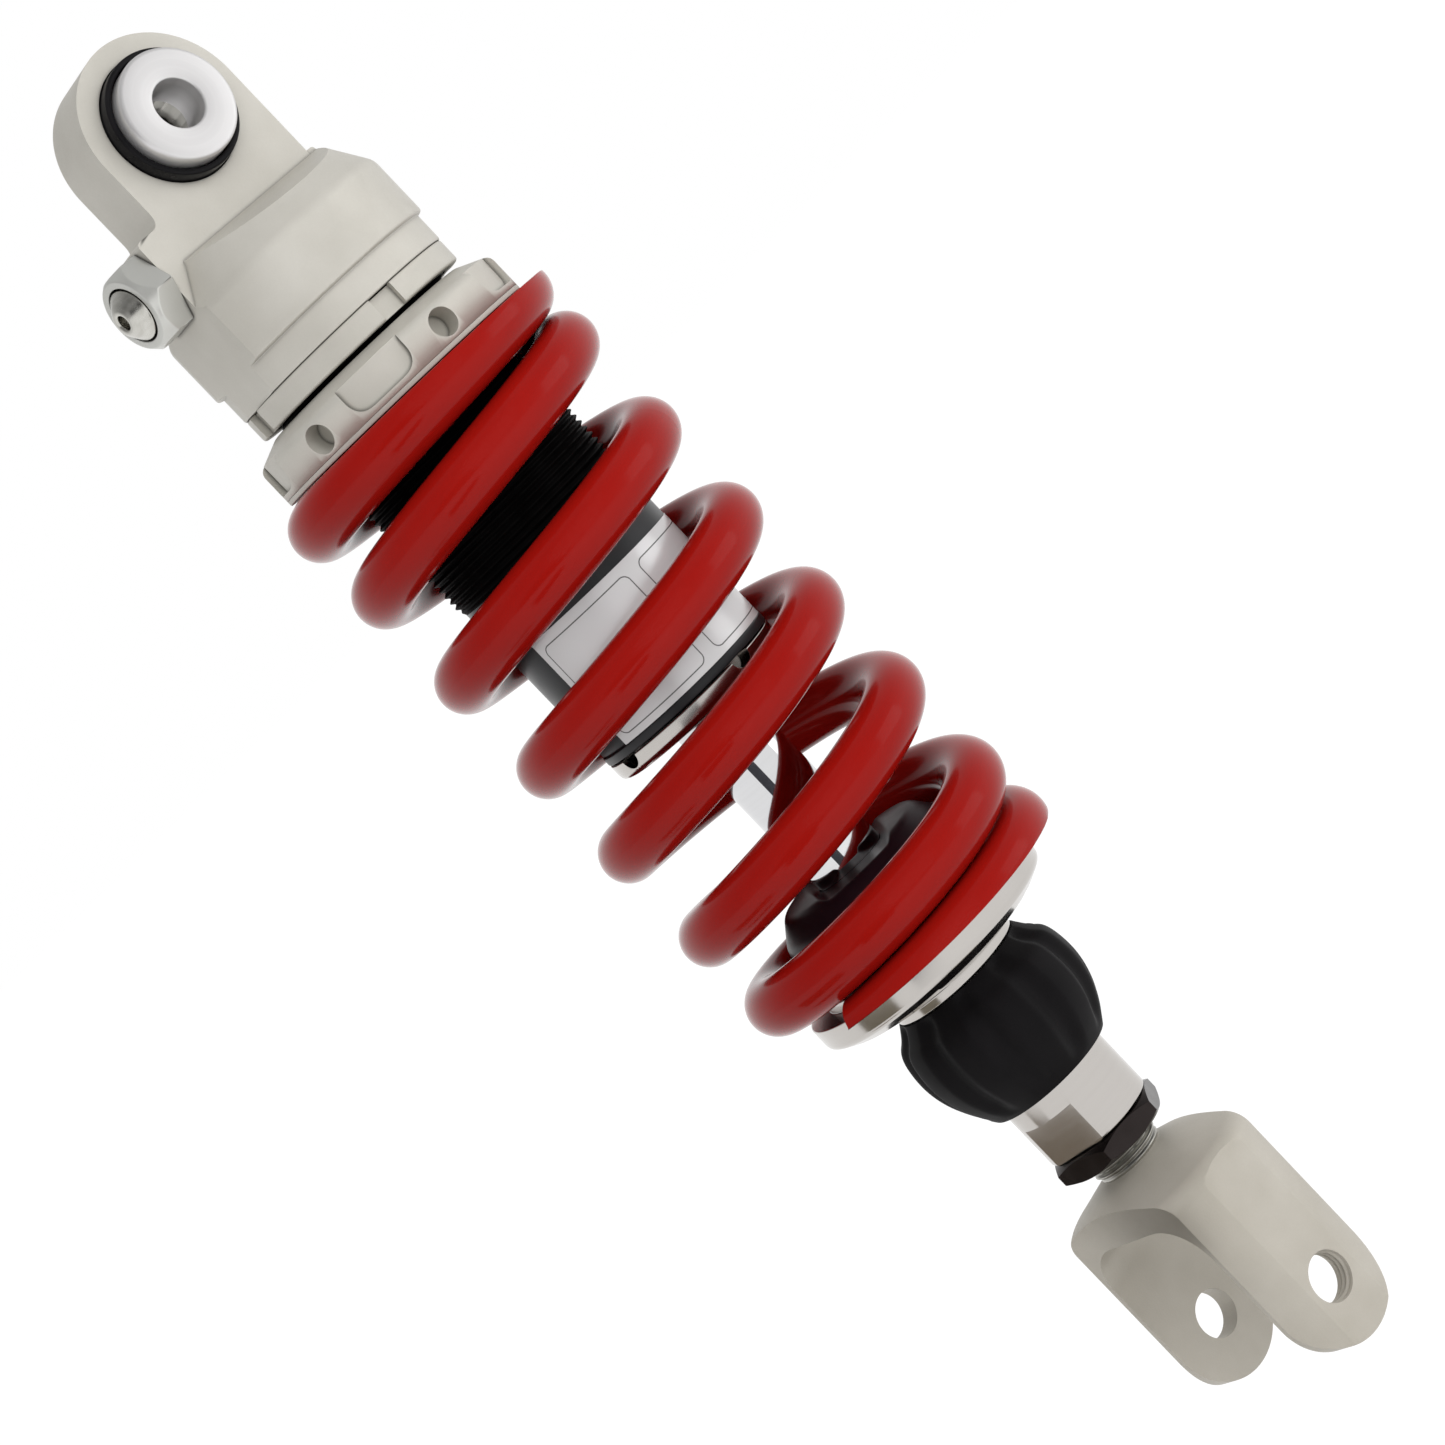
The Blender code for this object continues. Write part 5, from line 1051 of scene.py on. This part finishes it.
def makeLockRing(s):
    # a turned ring whose rim rises by a share of the gap below the head, with slots cut across
    high, low = span("lock_ring")
    rimTop = high + (foot("head") / mm - high) * s["rimRise"]
    ring = revolved("lockRing", eased([
        (s["bore"], high), (s["radius"] - s["rim"], high), (s["radius"] - s["rim"] + 0.1, rimTop),
        (s["radius"], rimTop), (s["radius"], low), (s["bore"], low),
    ], [0.2, 0.02, 0.02, 0.4, 0.7, 0.2]), 160)
    combine(ring, blocksRound("slot", (6, s["slotWidth"], 12), s["radius"] - s["slotDepth"] + 3,
                              (high + low) / 2, spacedRound(s["slotAngle"], s["slots"])))
    place(broken(ring, 0.22, 2), blastedAluminium, "lock_ring")


def makeWasher(s):
    # a flat ring between the collar and the spring
    high, low = span("spring_washer")
    washer = revolved("springWasher", eased([
        (s["bore"], high), (s["radius"], high), (s["radius"], low), (s["bore"], low),
    ], [0.25, 0.04, 0.25, 0.25]), 160)
    place(washer, blastedAluminium, "spring_washer")


makeCollar(collarShape)
makeLockRing(ringShape)
makeWasher(washerShape)
print("preload adjuster made")


seatShape = {"radius": 28.3, "rim": 5.0, "bevel": 4.0, "bevelFall": 2.2, "cone": 16.5,
             "coneFall": 2.1, "neck": 14.85, "spigot": 23.1, "spigotHeight": 2.5, "bore": 8.3,
             "socket": 12.65, "socketTop": 5.0, "slots": 4, "slotWidth": 11.0,
             "slotDepth": 2.5, "slotReach": 1.7, "slotAngle": -146.5}


def makeSeat(s):
    # a turned dish with a spigot for the spring above, and slots cut across its cone below
    high, low = span("lower_spring_seat")
    rimTop = high - s["spigotHeight"]
    rimFoot = rimTop - s["rim"]
    coneTop = rimFoot - s["bevelFall"]
    coneFoot = coneTop - s["coneFall"]
    socketTop = rimTop - s["socketTop"]
    seat = revolved("lowerSeat", eased([
        (s["bore"], high), (s["spigot"], high), (s["spigot"], rimTop), (s["radius"], rimTop),
        (s["radius"], rimFoot), (s["radius"] - s["bevel"], coneTop), (s["cone"], coneFoot),
        (s["neck"], coneFoot), (s["neck"], low), (s["socket"], low), (s["socket"], socketTop),
        (s["bore"], socketTop),
    ], [0.2, 0.8, 0.2, 0.4, 1.0, 1.0, 0.4, 0.5, 0.2, 0.2, 0.2, 0.2]), 180)
    inner, outer = s["neck"] + 0.6, s["radius"] - s["bevel"] + s["slotReach"]
    combine(seat, blocksRound("seatSlot", (outer - inner, s["slotWidth"], 2 * s["slotDepth"]),
                              (inner + outer) / 2, coneFoot, spacedRound(s["slotAngle"], s["slots"])))
    place(broken(seat, 0.22, 2), turnedAluminium, "lower_spring_seat")


bumpShape = {"radius": 21.3, "topRadius": 16.9, "shoulder": 18.8, "crown": 1.0,
             "shoulderFall": 2.4, "flareFall": 3.2, "bore": 8.15, "dish": 0.8,
             "channelWidth": 19.0, "channelDepth": 2.0, "channelWall": 4.0, "channelRise": 0.6,
             "soft": 0.8, "pressed": 0.02, "channelAngle": -123.5, "rows": 180, "steps": 288}


def makeBump(s):
    # a profile turned about Z, whose top is lowered along one line: the height is the soft
    # minimum of the profile's own and a valley that rises with the distance across it
    high, low = span("bump_stop")
    edge = high - s["crown"]
    shoulder = edge - s["shoulderFall"]
    line = eased([
        (s["bore"], high - s["dish"]), (s["bore"] + s["dish"], high), (s["topRadius"], edge),
        (s["shoulder"], shoulder), (s["radius"], shoulder - s["flareFall"]), (s["radius"], low),
        (s["bore"], low),
    ], [0.3, 0.5, 1.2, 1.8, 1.8, 0.9, 0.3], count=7)
    radius, height = evenly(np.vstack([line, line[:1]]), s["rows"], endpoint=False)
    angle = fullTurn(s["steps"])
    across = np.abs(radius * np.sin(angle - math.radians(s["channelAngle"])))
    wall = smooth((across - s["channelWidth"] / 2) / s["channelWall"] + 0.5)
    valley = high - s["channelDepth"] + (s["channelDepth"] + s["channelRise"]) * wall
    share = np.clip(0.5 + 0.5 * (valley - height) / s["soft"], 0, 1)
    lowered = valley + (height - valley) * share - s["soft"] * share * (1 - share)
    height = lowered + s["pressed"] * (height - lowered)
    bump = gridSolid("bumpStop", swept(radius, angle, height) * mm, sharpAngle=60)
    place(bump, bumpElastomer, "bump_stop")


rodShape = {"radius": 8.0, "tail": 5.0, "bore": 2.0}


def makeRod(s):
    # a polished shaft with a thinner tail for the piston, bored through
    high, low = span("piston_rod")
    shoulder = foot("stop_washer") / mm - 0.3
    rod = revolved("pistonRod", eased([
        (s["bore"], high), (s["tail"], high), (s["tail"], shoulder), (s["radius"], shoulder),
        (s["radius"], low), (s["bore"], low),
    ], 0.3), 128)
    place(rod, hardChrome, "piston_rod")


makeSeat(seatShape)
makeBump(bumpShape)
makeRod(rodShape)
print("rod end made")


knobShape = {"barrel": ((15.2, 0.0), (17.3, 3.0), (19.2, 4.6), (20.1, 7.4), (20.5, 11.6),
                        (20.2, 15.2), (19.2, 19.0), (17.3, 23.0)),
             "foot": 14.6, "footEase": 1.1, "bore": 12.65, "boreEase": 0.6, "flutes": 10,
             "fluteAngle": -132.5, "fluteDepth": 1.4, "fluteShare": 0.62, "rows": 110,
             "steps": 360}


def makeKnob(s):
    # barrel profile turned about Z; each flute lowers the radius by a half-cosine across its
    # width, and fades towards the knob's shoulders. The barrel is (radius, fall from the top).
    high, low = span("rebound_knob")
    outer = eased([(radius, high - fall) for radius, fall in s["barrel"]]
                  + [(s["foot"] + s["footEase"], low + 1.6), (s["foot"], low)],
                  3.0, closed=False, count=8)
    radius, height = evenly(outer, s["rows"])
    angle = fullTurn(s["steps"])
    period = (angle - math.radians(s["fluteAngle"])) * s["flutes"] / (2 * math.pi)
    across = np.abs((period + 0.5) % 1.0 - 0.5) * 2 / s["fluteShare"]
    scoop = np.where(across < 1, 0.5 + 0.5 * np.cos(math.pi * np.clip(across, 0, 1)), 0.0)
    fadeTop = np.clip((high + 0.3 - height) / 2.4, 0, 1)
    fadeFoot = np.clip((height - low - 1.0) / 5.0, 0, 1)
    depth = s["fluteDepth"] * np.sin(fadeTop * math.pi / 2) * np.sin(fadeFoot * math.pi / 2)
    wall = swept(radius - scoop * depth, angle, height)
    bore, ease = s["bore"], s["boreEase"]
    inner = turnedRows([(bore + ease, low), (bore, low + ease), (bore, high - ease),
                        (bore + ease, high)], angle)
    knob = gridSolid("reboundKnob", np.concatenate([wall, inner]) * mm, sharpAngle=50)
    place(knob, knobPlastic, "rebound_knob")


makeKnob(knobShape)


extensionShape = {"radius": 12.35, "bore": 8.15, "flatDepth": 1.95, "flatHeight": 9.6,
                  "flatAngle": -162.5}


def makeExtension(s):
    # a turned sleeve with two spanner flats at its foot
    high, low = span("shaft_extension")
    extension = revolved("shaftExtension", eased([
        (s["bore"], high), (s["radius"], high), (s["radius"], low), (s["bore"], low),
    ], [0.3, 0.4, 0.5, 0.5]), 128)
    combine(extension, blocksRound("spannerFlat", (10, 30, 2 * s["flatHeight"]),
                                   s["radius"] - s["flatDepth"] + 5, low,
                                   spacedRound(s["flatAngle"], 2)))
    place(broken(extension, 0.2, 2), turnedAluminium, "shaft_extension")


nutShape = {"flats": 24.0, "bore": 8.15, "corner": -136.5, "crown": 0.7}


def makeNut(s):
    # a hexagon crossed with a turned crown that slopes off its corners at both faces
    high, low = span("lock_nut")
    corner = s["flats"] / math.sqrt(3)
    nut = prism("lockNut", arc(0, 0, corner, s["corner"], s["corner"] + 300, 5), high - low,
                Matrix.Translation((0, 0, (high + low) / 2 * mm)))
    fall = (corner - s["flats"] / 2) * s["crown"]
    face = s["flats"] / 2 - 0.2
    crown = revolved("nutCrown", [
        (0, high), (face, high), (corner, high - fall), (corner, low + fall), (face, low), (0, low),
    ], 96)
    combine(nut, [crown], "INTERSECT")
    combine(nut, [drill("nutBore", s["bore"], 20, Matrix.Translation((0, 0, high * mm)), 64)])
    place(broken(nut, 0.25, 2), blackOxide, "lock_nut")


makeExtension(extensionShape)
makeNut(nutShape)
print("knob, extension and nut made")


clevisShape = {"bar": 23.0, "ear": 14.0, "half": 22.0, "slot": 17.0, "drop": 39.4, "rootDrop": 10.0,
               "rootEase": 9.5, "crownFall": 4.4, "crownRound": 4.6, "hole": 5.15,
               "tapGap": 0.15, "stem": 7.2, "stemLength": 32.0, "edge": 0.6}


def clevisLevels(s):
    # heights of the stem's top, the crown and the bolt, in mm
    stemTop = top("clevis") / mm
    crown = stemTop - s["stemLength"]
    return stemTop, crown, crown - s["drop"]


def makeClevis(s):
    # a turned bar crossed with the ears' side view, then the slot and the bolt holes
    stemTop, crown, bolt = clevisLevels(s)
    bend = s["crownRound"]
    side = crown - s["crownFall"]
    low = bolt - s["ear"] - 3
    body = np.vstack([
        [(0, stemTop), (s["stem"] - 0.8, stemTop), (s["stem"], stemTop - 1.0),
         (s["stem"], crown + 0.5), (s["stem"] + 0.7, crown)],
        arc(s["bar"] - bend, side - bend, bend, 75, 0, 10), [(s["bar"], low), (0, low)],
    ])
    clevis = revolved("clevis", body, 144)
    ears = prism("ears", np.vstack([
        [(s["ear"], stemTop - bolt + 3), (-s["ear"], stemTop - bolt + 3)],
        arc(0, 0, s["ear"], 180, 360, 60),
    ]), 2 * s["half"], outward(-90, 0, bolt))
    combine(clevis, [ears], "INTERSECT")
    root = s["drop"] - s["rootDrop"]
    inner = s["slot"] - s["rootEase"]
    opening = np.vstack([
        arc(inner, root - s["rootEase"], s["rootEase"], 0, 90, 16),
        arc(-inner, root - s["rootEase"], s["rootEase"], 90, 180, 16),
        [(-s["slot"], -30), (s["slot"], -30)],
    ])
    bolted = aboutAxis("Y", (0, 0, bolt * mm))
    combine(clevis, [
        prism("slot", opening, 60, outward(0, 0, bolt)),
        drill("boltHole", s["hole"], 60, bolted, 72),
        drill("tapHole", s["hole"] + s["tapGap"], 20,
              Matrix.Translation((0, -s["half"] * mm, 0)) @ bolted, 72),
    ])
    place(broken(clevis, s["edge"]), clevisAluminium, "clevis")


stemThreadShape = {"root": 7.25, "crest": 8.0, "pitch": 1.5, "perPitch": 10, "steps": 96,
                   "start": 21.0, "end": 0.3}
earThreadShape = {"root": 5.32, "crest": 4.85, "pitch": 1.25, "perPitch": 10, "steps": 72,
                  "start": -17.2, "end": -21.8, "wall": 0.2}


def makeStemThread(s):
    # coarse thread round the clevis's stem; start and end are heights over the crown
    crown = clevisLevels(clevisShape)[1]
    rows = threadGrid(s, crown + s["start"], crown + s["end"])
    stem = gridSolid("stemThread", rows, closedRows=False, sharpAngle=60)
    mount(stem, plainSteel, "clevis")


def makeEarThread(s):
    # inside thread of the near ear's bolt hole: radius follows the thread wave along Y, from
    # start to end, and a plain wall just behind the roots closes it
    bolt = clevisLevels(clevisShape)[2]
    grid = threadGrid(s, s["start"], s["end"])
    wall = grid[[-1, 0]]
    wall[..., :2] *= (s["root"] + s["wall"]) / s["root"]
    turn = aboutAxis("Y", (0, 0, bolt * mm))
    thread = gridSolid("earThread", np.concatenate([grid, wall])[::-1], turn, sharpAngle=60)
    mount(thread, clevisAluminium, "clevis")


makeClevis(clevisShape)
makeStemThread(stemThreadShape)
makeEarThread(earThreadShape)
print("clevis made")


stageLook = {"floorDrop": 10.6, "floorSize": 12.0, "shadow": 0.16, "white": 1.12, "grey": 0.86}


def showWhite(nodes, links, shader, rest):
    # camera, mirror and glass rays see plain white; light itself meets the rest
    path = nodes.new("ShaderNodeLightPath")
    tree = nodes.id_data
    seen = mathNode(tree, "MAXIMUM", path.outputs["Is Camera Ray"], path.outputs["Is Glossy Ray"])
    seen = mathNode(tree, "MAXIMUM", seen, path.outputs["Is Transmission Ray"])
    mix = nodes.new("ShaderNodeMixShader")
    links.new(seen, mix.inputs["Fac"])
    links.new(rest, mix.inputs[1])
    links.new(shader, mix.inputs[2])
    return mix.outputs[0]


def makeFloor(s):
    # mostly plain white where it is seen, with a faint share that takes the shadow
    size, z = s["floorSize"], cadBox[0].z - s["floorDrop"] * mm
    floor = meshObject("floor", [(-size, -size, z), (size, -size, z), (size, size, z),
                                 (-size, size, z)], [[0, 1, 2, 3]])
    material, nodes, links = shaderNodes("paleFloor")
    nodes.remove(nodes["Principled BSDF"])
    diffuse = nodes.new("ShaderNodeBsdfDiffuse")
    diffuse.inputs["Color"].default_value = (s["grey"], s["grey"], s["grey"], 1.0)
    white = nodes.new("ShaderNodeEmission")
    white.inputs["Strength"].default_value = s["white"]
    faint = nodes.new("ShaderNodeMixShader")
    faint.inputs["Fac"].default_value = s["shadow"]
    links.new(white.outputs[0], faint.inputs[1])
    links.new(diffuse.outputs[0], faint.inputs[2])
    output = nodes["Material Output"]
    links.new(showWhite(nodes, links, faint.outputs[0], diffuse.outputs[0]),
              output.inputs["Surface"])
    floor.data.materials.append(material)


worldLook = {
    "front": (-0.78, -0.62, -0.05), "span": (-0.2, 0.8), "tones": (0.88, 0.36),
    "mirrorSpan": (-0.3, 0.5), "mirrorTones": (1.0, 0.50),
    "viewerSpan": (0.87, 0.95), "viewerTones": (1.0, 0.15),
    "ceilingSpan": (0.1, 0.6), "ceilingTones": (1.0, 0.50),
}


def makeWorld(s):
    # white behind the object, falling to grey around the viewer; mirrors see a darker ceiling
    world = bpy.data.worlds.new("studio")
    scene.world = world
    world.use_nodes = True
    tree = world.node_tree
    nodes, links = tree.nodes, tree.links
    coordinates = nodes.new("ShaderNodeTexCoord")
    facing = nodes.new("ShaderNodeVectorMath")
    facing.operation = "DOT_PRODUCT"
    links.new(coordinates.outputs["Generated"], facing.inputs[0])
    facing.inputs[1].default_value = s["front"]
    parts = nodes.new("ShaderNodeSeparateXYZ")
    links.new(coordinates.outputs["Generated"], parts.inputs[0])
    forward = facing.outputs["Value"]
    light = rangeNode(nodes, links, forward, s["span"], s["tones"])
    around = rangeNode(nodes, links, forward, s["mirrorSpan"], s["mirrorTones"])
    viewer = rangeNode(nodes, links, forward, s["viewerSpan"], s["viewerTones"])
    above = rangeNode(nodes, links, parts.outputs["Z"], s["ceilingSpan"], s["ceilingTones"])
    mirror = mathNode(tree, "MULTIPLY", mathNode(tree, "MULTIPLY", around, above), viewer)
    path = nodes.new("ShaderNodeLightPath")
    shiny = mathNode(tree, "MAXIMUM", path.outputs["Is Glossy Ray"],
                     path.outputs["Is Transmission Ray"])
    change = mathNode(tree, "SUBTRACT", mirror, light)
    tone = mathNode(tree, "MULTIPLY_ADD", change, shiny, light)
    tone = mathNode(tree, "MAXIMUM", tone, path.outputs["Is Camera Ray"])
    plain = nodes["Background"]
    plain.inputs["Color"].default_value = (1.0, 1.0, 1.0, 1.0)
    links.new(tone, plain.inputs["Strength"])


cardLooks = {
    "flatCard": {"x": -0.085, "low": -0.302, "high": -0.275, "near": 0.004, "far": 0.056,
                 "colour": (0.30, 0.25, 0.19)},
    "yokeCard": {"x": -0.024, "low": -0.298, "high": -0.278, "near": -0.040, "far": 0.008,
                 "colour": (0.12, 0.10, 0.07)},
    "rodCard": {"x": -0.195, "low": -0.250, "high": -0.175, "near": -0.290, "far": -0.110,
                "colour": (0.05, 0.05, 0.06)},
    "seatCard": {"x": -0.090, "low": -0.250, "high": -0.224, "near": -0.020, "far": 0.040,
                 "colour": (0.30, 0.27, 0.20)},
}


def makeCard(name, s):
    # dark studio card beside the lower end, which the metal mirrors and the camera doesn't see
    x, low, high, near, far = (s[key] for key in ("x", "low", "high", "near", "far"))
    card = meshObject(name, [(x, near, low), (x, far, low), (x, far, high), (x, near, high)],
                      [[0, 1, 2, 3]])
    material, nodes = shaderNodes(name)[:2]
    shader = nodes["Principled BSDF"]
    shader.inputs["Base Color"].default_value = (*s["colour"], 1.0)
    shader.inputs["Roughness"].default_value = 0.9
    card.data.materials.append(material)
    card.visible_camera = False


shockMiddle = Vector((0.0, 0.0, -0.16))
lampLooks = {
    "keyBox": {"location": (-0.30, -1.05, 0.45), "size": (1.0, 1.0), "power": 11.0,
               "mirrored": False},
    "sideBox": {"location": (0.95, -0.85, -0.10), "size": (0.7, 0.9), "power": 1.5,
                "mirrored": True},
}


def softbox(name, s):
    # a rectangular lamp aimed at the shock's middle
    light = bpy.data.lights.new(name, "AREA")
    light.shape = "RECTANGLE"
    light.size, light.size_y = s["size"]
    light.energy = s["power"]
    lamp = bpy.data.objects.new(name, light)
    lamp.location = s["location"]
    lamp.visible_glossy = s["mirrored"]
    aim = shockMiddle - Vector(s["location"])
    lamp.rotation_euler = aim.to_track_quat("-Z", "Y").to_euler()
    scene.collection.objects.link(lamp)


cameraView = {"location": (-0.38976, -0.58889, -0.08458), "azimuth": 33.57, "elevation": 5.854,
              "roll": 43.65, "lens": 90.39}


def makeCamera(s):
    # azimuth about Z, elevation over the level, and roll about the line of sight, in degrees
    a, e, r = (math.radians(s[key]) for key in ("azimuth", "elevation", "roll"))
    back = Vector((-math.sin(a) * math.cos(e), -math.cos(a) * math.cos(e), math.sin(e)))
    right = Vector((math.cos(a), -math.sin(a), 0.0))
    up = back.cross(right)
    across = right * math.cos(r) - up * math.sin(r)
    along = right * math.sin(r) + up * math.cos(r)
    camera = bpy.data.cameras.new("camera")
    camera.lens = s["lens"]
    camera.sensor_width = 36.0
    camera.clip_start = 0.05
    camera.clip_end = 50.0
    holder = bpy.data.objects.new("camera", camera)
    matrix = Matrix((across, along, back)).transposed().to_4x4()
    matrix.translation = s["location"]
    holder.matrix_world = matrix
    scene.collection.objects.link(holder)
    scene.camera = holder


makeFloor(stageLook)
makeWorld(worldLook)
for cardName, look in cardLooks.items():
    makeCard(cardName, look)
for lampName, look in lampLooks.items():
    softbox(lampName, look)
makeCamera(cameraView)
scene.view_settings.view_transform = "Standard"
print("stage made")
